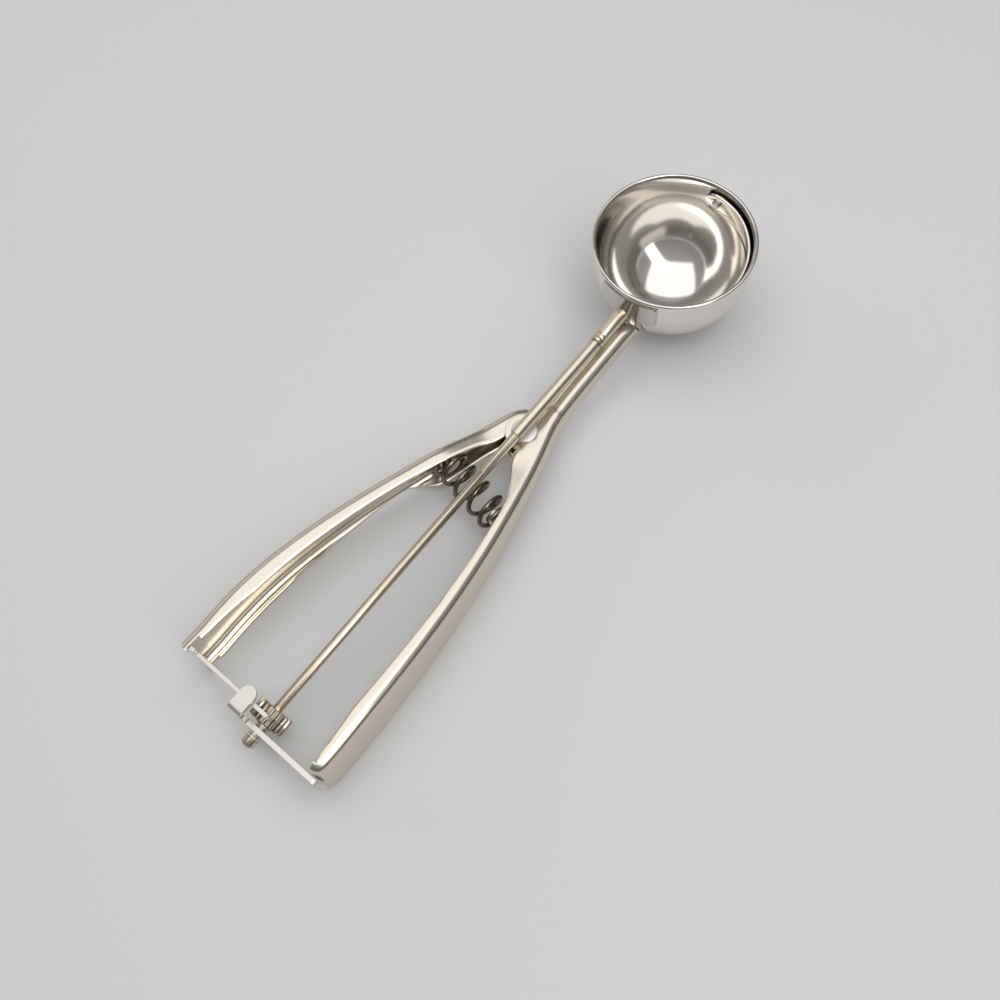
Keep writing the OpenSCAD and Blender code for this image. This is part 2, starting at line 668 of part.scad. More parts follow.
// Turned peg whose foot follows the slope of the channel's web
module spring_peg(back, slope, seat, side) {
    block = 10 * peg_base_d;
    at_spring() difference() {
        translate([seat, 0, 0]) rotate([0, side * 90, 0]) {
            cylinder(d = peg_d, h = peg_len);
            translate([0, 0, -abs(seat - back)]) cylinder(d = peg_base_d, h = abs(seat - back));
        }
        translate([back, 0, 0]) rotate([0, 0, -slope])
            translate([side * (sheet_t + move_gap - block / 2), 0, 0]) cube(block, center = true);
    }
}

module lever_spring_peg() {
    color("#b0aa9e") placed() spring_peg(lever_back, lever_slope, lever_seat, 1);
}

module fixed_spring_peg() {
    color("#b0aa9e") placed() spring_peg(fixed_back, fixed_slope, fixed_seat, -1);
}

// Round wire wound between the two seats, with end turns that lie closer together
first_angle = 120;
end_close = 0.055;
module return_spring() {
    steps = 16 * spring_turns;
    sides = 8;
    x0 = lever_seat + wire_d / 2 + seat_gap;
    x1 = fixed_seat - wire_d / 2 - seat_gap;
    rings = [for (i = [0 : steps])
        let (t = i / steps, a = first_angle + 360 * spring_turns * t,
            x = x0 + (x1 - x0) * (t - end_close * sin(360 * t)))
        [for (k = [0 : sides - 1]) let (b = 360 * k / sides, r = coil_r + wire_d / 2 * cos(b))
            [x + wire_d / 2 * sin(b), r * cos(a), r * sin(a)]]];
    faces = concat([for (i = [0 : steps - 1]) for (k = [0 : sides - 1])
        let (a = i * sides + k, b = i * sides + (k + 1) % sides)
            each [[a, a + sides, b], [b, a + sides, b + sides]]],
        [[for (k = [0 : sides - 1]) k], [for (k = [sides - 1 : -1 : 0]) steps * sides + k]]);
    color("#5f5a52") placed() at_spring() polyhedron([for (r = rings) each r], faces, convexity = 12);
}

bowl();
bowl_saddle();
far_pivot_pin();
scraper_blade();
shaft();
shaft_sleeve();
thrust_collar();
pinion();
retaining_ring();
rack();
support_bar();
fixed_handle();
lever_handle();
pivot_rivet();
pivot_spacer();
return_spring();
lever_spring_peg();
fixed_spring_peg();
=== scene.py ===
"""Dresses the squeeze-handle ice cream scoop with smooth pressed, turned and rolled metal pieces."""
import logging
import math
from dataclasses import dataclass, field
from enum import Enum
from typing import Callable, Sequence

import bmesh
import bpy
import numpy as np
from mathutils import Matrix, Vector


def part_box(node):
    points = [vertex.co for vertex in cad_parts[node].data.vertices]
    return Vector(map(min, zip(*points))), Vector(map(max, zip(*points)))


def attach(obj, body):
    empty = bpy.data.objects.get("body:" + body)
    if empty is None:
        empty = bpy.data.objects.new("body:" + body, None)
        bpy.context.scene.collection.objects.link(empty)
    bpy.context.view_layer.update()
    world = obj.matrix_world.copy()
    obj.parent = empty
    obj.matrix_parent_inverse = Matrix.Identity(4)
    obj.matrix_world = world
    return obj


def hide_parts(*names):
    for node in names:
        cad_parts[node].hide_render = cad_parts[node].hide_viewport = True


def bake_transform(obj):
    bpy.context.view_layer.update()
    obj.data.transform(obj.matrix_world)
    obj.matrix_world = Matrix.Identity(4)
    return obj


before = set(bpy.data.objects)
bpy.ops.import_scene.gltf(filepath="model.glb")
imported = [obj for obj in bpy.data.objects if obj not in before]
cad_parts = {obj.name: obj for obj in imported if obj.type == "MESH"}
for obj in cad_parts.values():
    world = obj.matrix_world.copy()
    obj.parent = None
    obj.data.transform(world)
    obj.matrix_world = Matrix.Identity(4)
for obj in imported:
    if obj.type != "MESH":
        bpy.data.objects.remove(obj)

LOG = logging.getLogger("scoop")
MM = 0.001
CREASE = math.radians(38)
WELD = 2e-6
SLIVER = 1e-7
PRESSURE = math.radians(20)
CLOUDS = (28.0, 28.0, 28.0)
Shell = tuple[np.ndarray, list]
Pairs = Sequence[tuple[float, float]]


class Body(Enum):
    """The rigid bodies that pieces ride on."""

    FRAME = "frame"
    LEVER = "lever"
    RACK = "rack"
    SCRAPER = "scraper"


class Grain(Enum):
    """Direction of the fine polishing lines: their stretch along X, Y and Z."""

    ALONG = (900.0, 40.0, 900.0)
    ACROSS = (40.0, 900.0, 900.0)
    EVEN = (300.0, 300.0, 300.0)


# Layout


@dataclass(frozen=True)
class Layout:
    """Sizes that several sub-assemblies share, in millimetres.

    +Y runs to the bowl, +Z up, x = 0 is the shaft and y = 0 the bowl's centre.
    """

    bowl_r: float = 25.5
    bowl_wall: float = 0.9
    rim_z: float = 33.5
    rim_d: float = 1.3
    channel_h: float = 20.8
    rack_back: float = 189.45
    rack_rear: float = -190.2
    pinion_rear: float = -191.5
    bar_rear: float = -194.5
    pivot_y: float = -75.0
    sheet_t: float = 1.2
    seat_gap: float = 0.15
    move_gap: float = 0.35
    bore_r: float = 1.55
    module: float = 0.73
    tooth_gap: float = 0.07
    tab_x: float = -27.925
    tab_w: float = 1.85

    @property
    def mid_z(self) -> float:
        """Height of the middle of the channels."""
        return self.channel_h / 2

    @property
    def tilt(self) -> float:
        """Slope of the shaft in radians."""
        return math.atan((self.bowl_r - self.mid_z) / self.rack_back)

    @property
    def addendum(self) -> float:
        """Height of a tooth over its pitch line."""
        return 0.9 * self.module

    @property
    def dedendum(self) -> float:
        """Depth of a tooth under its pitch line."""
        return 1.2 * self.module

    @property
    def origin(self) -> np.ndarray:
        """Where x = 0, y = 0 lies in the frame, from the pivot rivet's own place.

        Returns:
            The offset in millimetres.
        """
        low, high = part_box("pivot_rivet")
        middle = (low + high) / 2 / MM
        return np.array([middle.x, middle.y - self.pivot_y, 0.0])

    def along(self, y: float) -> float:
        """Distance along the shaft from the bowl's centre back to the place y."""
        return -y / math.cos(self.tilt)

    def on_shaft(self, points: np.ndarray) -> np.ndarray:
        """Carries points given across and along the shaft into the tool.

        Args:
            points: an (n, 3) array whose last column is the distance along the shaft to the rear.
        Returns:
            The same points in the tool's millimetres: x X + y U + s A + the bowl's centre.
        """
        c, s = math.cos(self.tilt), math.sin(self.tilt)
        turn = np.array([[1, 0, 0], [0, -s, c], [0, -c, -s]])
        return points @ turn + np.array([0, 0, self.bowl_r])

    def placed(self, points: np.ndarray) -> np.ndarray:
        """Points in the tool's millimetres as metres in the frame."""
        return (np.asarray(points, float) + self.origin) * MM


TOOL = Layout()


# Finishes


@dataclass(frozen=True)
class Metal:
    """A polished or brushed metal, with faint lines, clouding and finger marks.

    The roughness is its mean plus a slow noise, and a stretched noise gives the fine lines' height.
    """

    name: str
    colour: tuple[float, float, float]
    roughness: float
    grain: Grain = Grain.EVEN
    line_depth: float = 0.04
    clouding: float = 0.05
    shade: float = 0.04

    def material(self) -> bpy.types.Material:
        """The node material of this metal, made once and then shared.

        Returns:
            The material.
        """
        found = bpy.data.materials.get(self.name)
        if found:
            return found
        made = bpy.data.materials.new(self.name)
        made.use_nodes = True
        tree = made.node_tree
        tree.nodes.clear()
        link = tree.links.new
        out = self._node(tree, "OutputMaterial", {})
        shader = self._node(tree, "BsdfPrincipled", {"Metallic": 1.0})
        place = self._node(tree, "TexCoord", {})
        lines = self._noise(tree, place, self.grain.value, 3.0)
        cloud = self._noise(tree, place, CLOUDS, 4.0)
        reach = self._node(tree, "MapRange", {
            "From Min": 0.3, "From Max": 0.7, "To Min": max(0.02, self.roughness - self.clouding),
            "To Max": self.roughness + self.clouding})
        tint = self._node(tree, "Mix", {})
        tint.data_type = "RGBA"
        tint.inputs["A"].default_value = (*(c * (1 - self.shade) for c in self.colour), 1.0)
        tint.inputs["B"].default_value = (*self.colour, 1.0)
        bump = self._node(tree, "Bump", {"Strength": self.line_depth, "Distance": 0.0001})
        link(cloud.outputs["Fac"], reach.inputs["Value"])
        link(reach.outputs["Result"], shader.inputs["Roughness"])
        link(lines.outputs["Fac"], tint.inputs["Factor"])
        link(tint.outputs["Result"], shader.inputs["Base Color"])
        link(lines.outputs["Fac"], bump.inputs["Height"])
        link(bump.outputs["Normal"], shader.inputs["Normal"])
        link(shader.outputs["BSDF"], out.inputs["Surface"])
        return made

    @staticmethod
    def _node(tree: bpy.types.NodeTree, kind: str, values: dict) -> bpy.types.Node:
        """A new shader node.

        Args:
            tree: the material's nodes.
            kind: the node's type, without ShaderNode.
            values: the values of its inputs by their names.
        Returns:
            The node.
        """
        node = tree.nodes.new("ShaderNode" + kind)
        for name, value in values.items():
            node.inputs[name].default_value = value
        return node

    def _noise(self, tree: bpy.types.NodeTree, place: bpy.types.Node, scale: Sequence[float],
               detail: float) -> bpy.types.Node:
        """A noise on Object coordinates, stretched by scale.

        Args:
            tree: the material's nodes.
            place: the texture coordinate node.
            scale: repeats per metre along X, Y and Z.
            detail: octaves of the noise.
        Returns:
            The noise node.
        """
        mapping = self._node(tree, "Mapping", {"Scale": scale})
        noise = self._node(tree, "TexNoise", {"Scale": 1.0, "Detail": detail})
        tree.links.new(place.outputs["Object"], mapping.inputs["Vector"])
        tree.links.new(mapping.outputs["Vector"], noise.inputs["Vector"])
        return noise


SATIN_SHEET = Metal("satin_sheet", (0.75, 0.685, 0.59), 0.22, Grain.ALONG, 0.012, 0.03, 0.03)
SATIN_ROD = Metal("satin_rod", (0.70, 0.61, 0.49), 0.22, Grain.ALONG, 0.05, 0.05, 0.08)
SLEEVE_METAL = Metal("sleeve_metal", (0.72, 0.635, 0.52), 0.20, Grain.ALONG, 0.04, 0.04, 0.06)
BOWL_MIRROR = Metal("bowl_mirror", (0.80, 0.71, 0.575), 0.07, Grain.EVEN, 0.012, 0.025, 0.02)
BLADE_MIRROR = Metal("blade_mirror", (0.80, 0.73, 0.63), 0.09, Grain.EVEN, 0.015, 0.02, 0.03)
SADDLE_MIRROR = Metal("saddle_mirror", (0.50, 0.46, 0.40), 0.10, Grain.EVEN, 0.02, 0.03, 0.04)
TOOTH_STEEL = Metal("tooth_steel", (0.60, 0.54, 0.46), 0.15, Grain.ALONG, 0.04, 0.05, 0.08)
BAR_STEEL = Metal("bar_steel", (0.72, 0.655, 0.555), 0.22, Grain.ACROSS, 0.05, 0.05, 0.06)
RIVET_STEEL = Metal("rivet_steel", (0.80, 0.745, 0.66), 0.26, Grain.EVEN, 0.04, 0.05, 0.04)
SPRING_WIRE = Metal("spring_wire", (0.25, 0.22, 0.18), 0.15, Grain.EVEN, 0.05, 0.05, 0.12)
TURNED_STEEL = Metal("turned_steel", (0.70, 0.63, 0.53), 0.20, Grain.EVEN, 0.04, 0.05, 0.06)


# Surfaces


def ring_faces(rows: int, cols: int) -> list:
    """Quads between neighbouring rows of a grid whose columns run round a closed ring.

    Args:
        rows: number of rings.
        cols: points in each ring.
    Returns:
        The quads as lists of vertex numbers.
    """
    start = np.arange(rows - 1)[:, None] * cols
    col = np.arange(cols)[None, :]
    after = (col + 1) % cols
    quads = np.stack([start + col, start + after, start + cols + after, start + cols + col], -1)
    return quads.reshape(-1, 4).tolist()


def sheet_caps(rows: int, cols: int) -> list:
    """End faces of a thin section whose ring runs out along one side and back along the other.

    Point j of the ring faces point cols - 1 - j, and each pair makes a quad with the next.

    Args:
        rows: number of rings.
        cols: points in each ring, an even number.
    Returns:
        The quads of both ends.
    """
    near = np.arange(cols // 2 - 1)
    quads = np.stack([near, near + 1, cols - 2 - near, cols - 1 - near], -1)
    return np.concatenate([quads, quads + (rows - 1) * cols]).tolist()


def disc_caps(rows: int, cols: int) -> list:
    """End faces of a round section: one polygon over the first ring and one over the last."""
    return [list(range(cols)), list(range((rows - 1) * cols, rows * cols))]


def joined(shells: Sequence[Shell]) -> Shell:
    """Several shells as one.

    Args:
        shells: points and faces of each.
    Returns:
        All the points, and the faces renumbered to them.
    """
    points, faces, count = [], [], 0
    for own_points, own_faces in shells:
        points.append(own_points)
        faces += [[i + count for i in face] for face in own_faces]
        count += len(own_points)
    return np.concatenate(points), faces


def carried(rows: np.ndarray, caps: Callable[[int, int], list] | None) -> Shell:
    """The shell of a section carried along a path.

    Args:
        rows: an (n, m, 3) array, one closed ring of m points for each place on the path.
        caps: the function that closes both ends, or None where they are closed already.
    Returns:
        The points and faces.
    """
    n, m = rows.shape[:2]
    faces = ring_faces(n, m) + (caps(n, m) if caps else [])
    return rows.reshape(-1, 3), faces


def lifted(plane: np.ndarray, height: np.ndarray) -> np.ndarray:
    """Rings given in X and Y, set at their heights along Z, as an (n, m, 3) array."""
    return np.concatenate([plane, np.broadcast_to(height, plane.shape[:2])[..., None]], -1)


def moved(shell: Shell, place: Callable[[np.ndarray], np.ndarray]) -> Shell:
    """The shell with its points carried by place."""
    return place(shell[0]), shell[1]


def turned(profile: Sequence[Sequence[float]], segments: int = 96) -> Shell:
    """A turned piece about the shaft's direction: each profile point (r, s) goes round a circle.

    Args:
        profile: the outline from one end to the other. It starts and ends at r = 0, or is a
            closed loop, whose first point is repeated at its end.
        segments: points round the circle.
    Returns:
        The shell, with its axis on +Z and s along it.
    """
    line = np.asarray(profile, float)
    angle = np.linspace(0, 2 * np.pi, segments, endpoint=False)
    circle = np.stack([np.cos(angle), np.sin(angle)], -1)
    return carried(lifted(line[:, 0, None, None] * circle, line[:, 1, None]), None)


def arc(centre: Sequence[float], radius: float, start: float, end: float, count: int) -> np.ndarray:
    """Points on a circle from one angle to another.

    Args:
        centre: the circle's centre.
        radius: its radius.
        start: first angle in degrees.
        end: last angle in degrees.
        count: number of points.
    Returns:
        A (count, 2) array.
    """
    angle = np.radians(np.linspace(start, end, count))
    return np.asarray(centre, float) + radius * np.stack([np.cos(angle), np.sin(angle)], -1)


def prism(outline: np.ndarray, low: float, high: float) -> Shell:
    """A flat plate: the outline in its own plane carried from low to high.

    Args:
        outline: an (m, 2) array.
        low: first height.
        high: last height.
    Returns:
        The shell, with the outline in X and Y and the thickness along Z.
    """
    return carried(lifted(np.array([outline, outline], float), np.array([[low], [high]])), disc_caps)


def eased(y: np.ndarray, stations: Pairs, spread: float = 3.0) -> np.ndarray:
    """Straight lines between stations, averaged over +/- spread so that no kink shows.

    Args:
        y: places along the tool.
        stations: (place, value) pairs.
        spread: half width of the averaging window.
    Returns:
        The value at each place.
    """
    table = np.array(sorted(stations))
    count = 15
    offsets = np.linspace(-spread, spread, count)
    weights = np.hanning(count + 2)[1:-1]
    values = np.interp(y[:, None] + offsets, table[:, 0], table[:, 1])
    return values @ weights / weights.sum()


def curve_points(controls: Sequence[Sequence[float]], count: int) -> np.ndarray:
    """A cubic curve: its four control points weighted by the Bernstein polynomials of t.

    Args:
        controls: the four control points.
        count: number of points.
    Returns:
        A (count, 2) array.
    """
    t = np.linspace(0, 1, count)[:, None]
    p = np.asarray(controls, float)
    return (1 - t) ** 3 * p[0] + 3 * t * (1 - t) ** 2 * p[1] + 3 * t * t * (1 - t) * p[2] + t ** 3 * p[3]


def smooth_track(points: np.ndarray) -> tuple[np.ndarray, np.ndarray]:
    """A path in plan, sampled evenly and averaged with a bell curve, and its directions.

    Args:
        points: an (n, 2) array.
    Returns:
        The samples and their unit directions.
    """
    step, sigma = 0.8, 1.6
    length = np.concatenate([[0], np.cumsum(np.hypot(*np.diff(points, axis=0).T))])
    keep = np.concatenate([[True], np.diff(length) > 1e-6])
    at = np.linspace(0, length[-1], int(length[-1] / step) + 1)
    even = np.stack([np.interp(at, length[keep], points[keep, k]) for k in (0, 1)], -1)
    pad = int(4 * sigma / step)
    before = 2 * even[0] - even[pad:0:-1]
    after = 2 * even[-1] - even[-2:-pad - 2:-1]
    longer = np.concatenate([before, even, after])
    bell = np.exp(-0.5 * (np.arange(-pad, pad + 1) * step / sigma) ** 2)
    bell /= bell.sum()
    track = np.stack([np.convolve(longer[:, k], bell, "valid") for k in (0, 1)], -1)
    slope = np.gradient(track, axis=0)
    return track, slope / np.hypot(*slope.T)[:, None]


# Pieces


def shade(mesh: bpy.types.Mesh) -> None:
    """Shades a mesh smooth, with the edges that bend by more than CREASE kept crisp."""
    mesh.polygons.foreach_set("use_smooth", np.ones(len(mesh.polygons), bool))
    mesh.set_sharp_from_angle(angle=CREASE)


def object_of(name: str, shell: Shell) -> bpy.types.Object:
    """Makes a closed object with outward faces and smooth shading.

    Args:
        name: the name of the object and of its mesh.
        shell: points in the tool's millimetres, and faces.
    Returns:
        The object, linked to the scene, with its origin at the frame's.
    """
    points, faces = moved(shell, TOOL.placed)
    mesh = bpy.data.meshes.new(name)
    mesh.from_pydata(points.tolist(), [], faces)
    work = bmesh.new()
    work.from_mesh(mesh)
    bmesh.ops.remove_doubles(work, verts=work.verts, dist=WELD)
    bmesh.ops.dissolve_degenerate(work, edges=work.edges, dist=SLIVER)
    bmesh.ops.recalc_face_normals(work, faces=work.faces)
    work.to_mesh(mesh)
    work.free()
    shade(mesh)
    obj = bpy.data.objects.new(name, mesh)
    bpy.context.scene.collection.objects.link(obj)
    return obj


@dataclass
class Piece:
    """One visible piece: its name, body, finish and the node it stands for.

    With bend given, as two points, it is not tied to its body: its place is baked into its mesh, and the
    points are not read.
    """

    name: str
    body: Body
    finish: Metal
    node: str
    shell: Shell
    bevel: float = 0.0
    cutters: list = field(default_factory=list)
    bend: np.ndarray | None = None

    def make(self) -> bpy.types.Object:
        """Builds the object, cuts and bevels it, ties it to its body unless bend is given, and hides its
        node.

        Returns:
            The finished object.
        """
        obj = object_of(self.name, self.shell)
        for number, cutter in enumerate(self.cutters):
            self._cut(obj, object_of(f"{self.name}_cut_{number}", cutter))
        if self.bevel > 0:
            edge = obj.modifiers.new("edge", "BEVEL")
            edge.width = self.bevel * MM
            edge.segments = 2
            edge.limit_method = "ANGLE"
            edge.angle_limit = CREASE
        obj.data.materials.clear()
        obj.data.materials.append(self.finish.material())
        if self.bend is None:
            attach(obj, self.body.value)
        else:
            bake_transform(obj)
        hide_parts(self.node)
        LOG.info("%s: %d faces on %s", self.name, len(obj.data.polygons), self.body.value)
        return obj

    @staticmethod
    def _cut(obj: bpy.types.Object, tool: bpy.types.Object) -> None:
        """Takes a closed tool away from the object's mesh, and removes the tool.

        Args:
            obj: the object that is cut.
            tool: the object that cuts it.
        """
        step = obj.modifiers.new("cut", "BOOLEAN")
        step.operation = "DIFFERENCE"
        step.solver = "EXACT"
        step.object = tool
        bpy.context.view_layer.update()
        view = bpy.context.evaluated_depsgraph_get()
        result = bpy.data.meshes.new_from_object(obj.evaluated_get(view))
        obj.modifiers.clear()
        obj.data = result
        shade(result)
        bpy.data.objects.remove(tool)


# Handles


@dataclass
class Channel:
    """A pressed channel of sheet: a C-shaped section carried along a path in plan.

    Its back leaves the rear end at x = spread, is drawn to belly and neck, and ends at the pivot.
    """

    spread: float
    belly: float
    neck: float
    flange_w: float
    flange_change: Pairs
    belly_back: float = 74.0
    neck_back: float = 39.0
    straight: float = 9.0
    grip_back: float = 95.0
    spring_y: float = -99.0
    spring_half: float = 7.19
    corner_r: float = 3.2
    ear_drop: float = 0.03
    ear_edge: float = 0.18
    crown: float = 0.09
    crown_end: float = 14.0
    crown_fade: float = 12.0

    def grip(self, side: float, rear: float, end: Sequence[float]) -> np.ndarray:
        """The back of the grip in plan, a cubic curve.

        Args:
            side: +1 or -1, the side of the shaft that it lies on.
            rear: place of the channel's rear end.
            end: the curve's last point, near the pivot.
        Returns:
            An (n, 2) array.
        """
        pivot = TOOL.pivot_y
        return curve_points([(side * self.spread, rear + self.straight),
                             (side * self.belly, pivot - self.belly_back),
                             (side * self.neck, pivot - self.neck_back), end], 160)

    def taper(self) -> list[tuple[float, float]]:
        """Stations of the half height where the grip starts to narrow and behind the spring."""
        return [(TOOL.pivot_y - self.grip_back, TOOL.mid_z), (self.spring_y - 8, self.spring_half)]

    def flange(self) -> list[tuple[float, float]]:
        """Stations of the flange's width, from the places ahead of the pivot and their changes."""
        return [(TOOL.pivot_y + at, self.flange_w + change) for at, change in self.flange_change]

    def droop(self, y: np.ndarray) -> np.ndarray:
        """How far the flanges' edges fall: the crown along the grip, none round the pivot."""
        return self.crown * np.clip((TOOL.pivot_y - self.crown_end - y) / self.crown_fade, 0, 1)

    def section(self, half: np.ndarray, upper: np.ndarray, lower: np.ndarray,
                droop: np.ndarray) -> np.ndarray:
        """The section's ring at each station, in its own u (inwards) and v (up).

        The middle of the sheet runs from the upper flange's lip round both corners to the lower
        lip. The ring is that line moved out by half the thickness, a round lip, the line moved
        in by as much, and the other round lip.

        Args:
            half: half height at each station.
            upper: width of the upper flange.
            lower: width of the lower flange.
            droop: how far the edge of each flange falls.
        Returns:
            An (n, m, 2) array.
        """
        t, lip, r = TOOL.sheet_t, TOOL.sheet_t * 0.32, self.corner_r
        top, top_way = self._side(upper, lip, droop)
        low, low_way = self._side(lower, lip, droop)
        flip = np.array([1.0, -1.0])
        shift = np.stack([0 * half, half - r], -1)[:, None]
        line = np.concatenate([top[:, ::-1] + shift, low * flip - shift], 1)
        normal = np.concatenate([top_way[:, ::-1], low_way * flip], 1)
        thick = np.full(line.shape[1], t / 2)
        thick[[0, -1]] = t / 2 - lip * 0.55
        out = line + normal * thick[:, None]
        inn = line - normal * thick[:, None]
        return np.concatenate([out, inn[:, ::-1]], 1)

    def _side(self, width: np.ndarray, lip: float, droop: np.ndarray) -> tuple[np.ndarray, np.ndarray]:
        """Middle of the sheet from the web round the upper corner to the lip, and its normals.

        The corner turns by a quarter, or by acos(1 - width / r) where the flange is narrower than
        the corner, and the flange runs on along the corner's last direction, falling by droop
        times the square of the share of the run.

        Args:
            width: width of the flange at each station.
            lip: length of the rounded lip.
            droop: fall of the flange's edge.
        Returns:
            Two (n, m, 2) arrays, with v measured from the corner's centre.
        """
        r, mid = self.corner_r, self.corner_r - TOOL.sheet_t / 2
        span = np.arccos(np.clip(1 - width / r, 0, 1))[:, None]
        turn = np.pi - span * np.linspace(0, 1, 9)
        run = np.maximum(width - r, 0.2)[:, None]
        steps = np.concatenate([np.minimum(0.3, 0.25 * run), np.maximum(run - 1.2, 0.5 * run),
                                np.maximum(run - lip, 0.75 * run), run - 0.02], 1)
        turn = np.concatenate([turn[:, :1], turn, np.repeat(turn[:, -1:], 4, 1)], 1)
        ahead = np.concatenate([np.zeros((len(width), 10)), steps], 1)
        way = np.stack([np.cos(turn), np.sin(turn)], -1)
        along = np.stack([np.sin(turn), -np.cos(turn)], -1)
        points = way * mid + along * ahead[..., None] + np.array([r, 0.0])
        fall, share = droop[:, None], ahead / run
        lean = 2 * fall * share / run
        points -= way * (fall * share ** 2)[..., None]
        points[:, 0, 1] = -0.4
        return points, (way + along * lean[..., None]) / np.sqrt(1 + lean ** 2)[..., None]

    @staticmethod
    def sweep(track: np.ndarray, inward: np.ndarray, ring: np.ndarray, middle: np.ndarray) -> np.ndarray:
        """Sets each station's ring on the path: place + u inwards, and v above the middle.

        Args:
            track: places in plan.
            inward: unit vectors from the channel's back to its mouth.
            ring: the sections from section().
            middle: height of each section's middle.
        Returns:
            An (n, m, 3) array.
        """
        return lifted(track[:, None] + ring[..., :1] * inward[:, None], middle[:, None] + ring[..., 1])

    def ears(self, radius: float, half: float) -> Shell:
        """Round ears over and under the pivot, sunk a hair under the flanges' faces.

        Args:
            radius: the ears' radius.
            half: half height of the channel at the pivot.
        Returns:
            Both discs.
        """
        t, d, e, z = TOOL.sheet_t, self.ear_drop, self.ear_edge, TOOL.mid_z
        disc = turned([(0, 0), (radius - e, 0), (radius, e), (radius, t - 2 * d - e),
                       (radius - e, t - 2 * d), (0, t - 2 * d)])
        return joined([moved(disc, lambda points: points + np.array([0, TOOL.pivot_y, base]))
                       for base in (z + half - t + d, z - half + d)])


@dataclass
class FixedHandle(Channel):
    """The fixed handle: grip, rounded toe, ears and the shank that carries the bowl."""

    spread: float = 25.4
    belly: float = 23.9
    neck: float = 22.1
    toe_y: float = -192.9
    toe_r: float = 2.4
    toe_run: float = 1.0
    toe_w: float = 3.45
    flange_w: float = 5.5
    flange_change: Pairs = ((-75, -0.5), (-55, -1.2), (-43, -1.6), (-25, -1.5), (-19, -0.8),
                            (-10, 2.3), (-6.5, 3.8), (-1, 3.2), (4, 1.6))
    waist_h: float = 10.0
    shank_side: float = 5.4
    shank_h: float = 7.7
    shank_w: float = 6.2
    shank_drop: float = 4.4
    shank_root: float = -44.0
    saddle_out: float = 26.8
    step_y: float = -63.5
    step_d: float = 0.4
    step_run: float = 1.2
    ear_r: float = 6.2

    def plan(self) -> tuple[np.ndarray, np.ndarray]:
        """The handle's back in plan and its directions: toe arc, grip curve and shank curve.

        Returns:
            The places and the unit directions.
        """
        toe_x, toe_c = self.spread - self.toe_r, self.toe_y + self.toe_r
        toe = arc((toe_x, toe_c), self.toe_r, -90, 0, 20)
        side, pivot = self.shank_side, TOOL.pivot_y
        start = (side + 1.6, pivot + 7)
        shank = curve_points([start, (side - 0.2, pivot + 13), (side, pivot + 25),
                              (side, 5 - TOOL.bowl_r)], 90)
        return smooth_track(np.concatenate([[(toe_x - self.toe_run, self.toe_y)], toe,
                                            self.grip(1, self.toe_y, start), shank[1:]]))

    def shell(self) -> Shell:
        """The pressed channel with its ears.

        Returns:
            The sheet and both ears.
        """
        track, way = self.plan()
        y = track[:, 1]
        pivot = TOOL.pivot_y
        top_at_bowl = TOOL.bowl_r - TOOL.bowl_r * math.tan(TOOL.tilt) - self.shank_drop
        step = self.step_d * np.clip((y - self.step_y) / self.step_run, 0, 1)
        waist, toe = self.waist_h / 2, self.toe_y + self.toe_r
        half = eased(y, [*self.taper(), (self.spring_y - 2, self.spring_half - 0.35), (pivot - 8, waist),
                         (self.step_y, waist), (-TOOL.bowl_r, self.shank_h / 2)], 4.0) - step
        middle = eased(y, [(self.step_y - 2, TOOL.mid_z), (-TOOL.bowl_r, top_at_bowl - self.shank_h / 2)])
        width = eased(y, [(toe, self.toe_r), (toe + 0.8, self.toe_w), (self.step_y, self.shank_w),
                          (self.toe_y + self.straight, self.toe_w + 1), (self.toe_y + 20, self.flange_w),
                          *self.flange()], 1.2) - step
        inward = np.stack([-way[:, 1], way[:, 0]], -1)
        rows = self.sweep(track, inward, self.section(half, width, width, self.droop(y)), middle)
        return joined([carried(self._fit_saddle(rows), sheet_caps), self.ears(self.ear_r, waist)])

    def _fit_saddle(self, rows: np.ndarray) -> np.ndarray:
        """Stretches the shank in front of its root so that its end follows the saddle's curve.

        Args:
            rows: the channel's rings.
        Returns:
            The rings, with y between the root and the end scaled to reach the saddle.
        """
        reach, root = self.saddle_out + TOOL.seat_gap, self.shank_root
        x, z = rows[-1, :, 0], rows[-1, :, 2] - TOOL.bowl_r
        end = -np.sqrt(reach ** 2 - x ** 2 - z ** 2)
        part = np.clip((rows[..., 1] - root) / (rows[-1, :, 1] - root), 0, 1)
        out = rows.copy()
        out[..., 1] = np.where(part > 0, root + part * (end - root), rows[..., 1])
        return out

    def build(self) -> list[bpy.types.Object]:
        """Builds the fixed handle."""
        return [Piece("fixed_handle_sheet", Body.FRAME, SATIN_SHEET, "fixed_handle", self.shell()).make()]


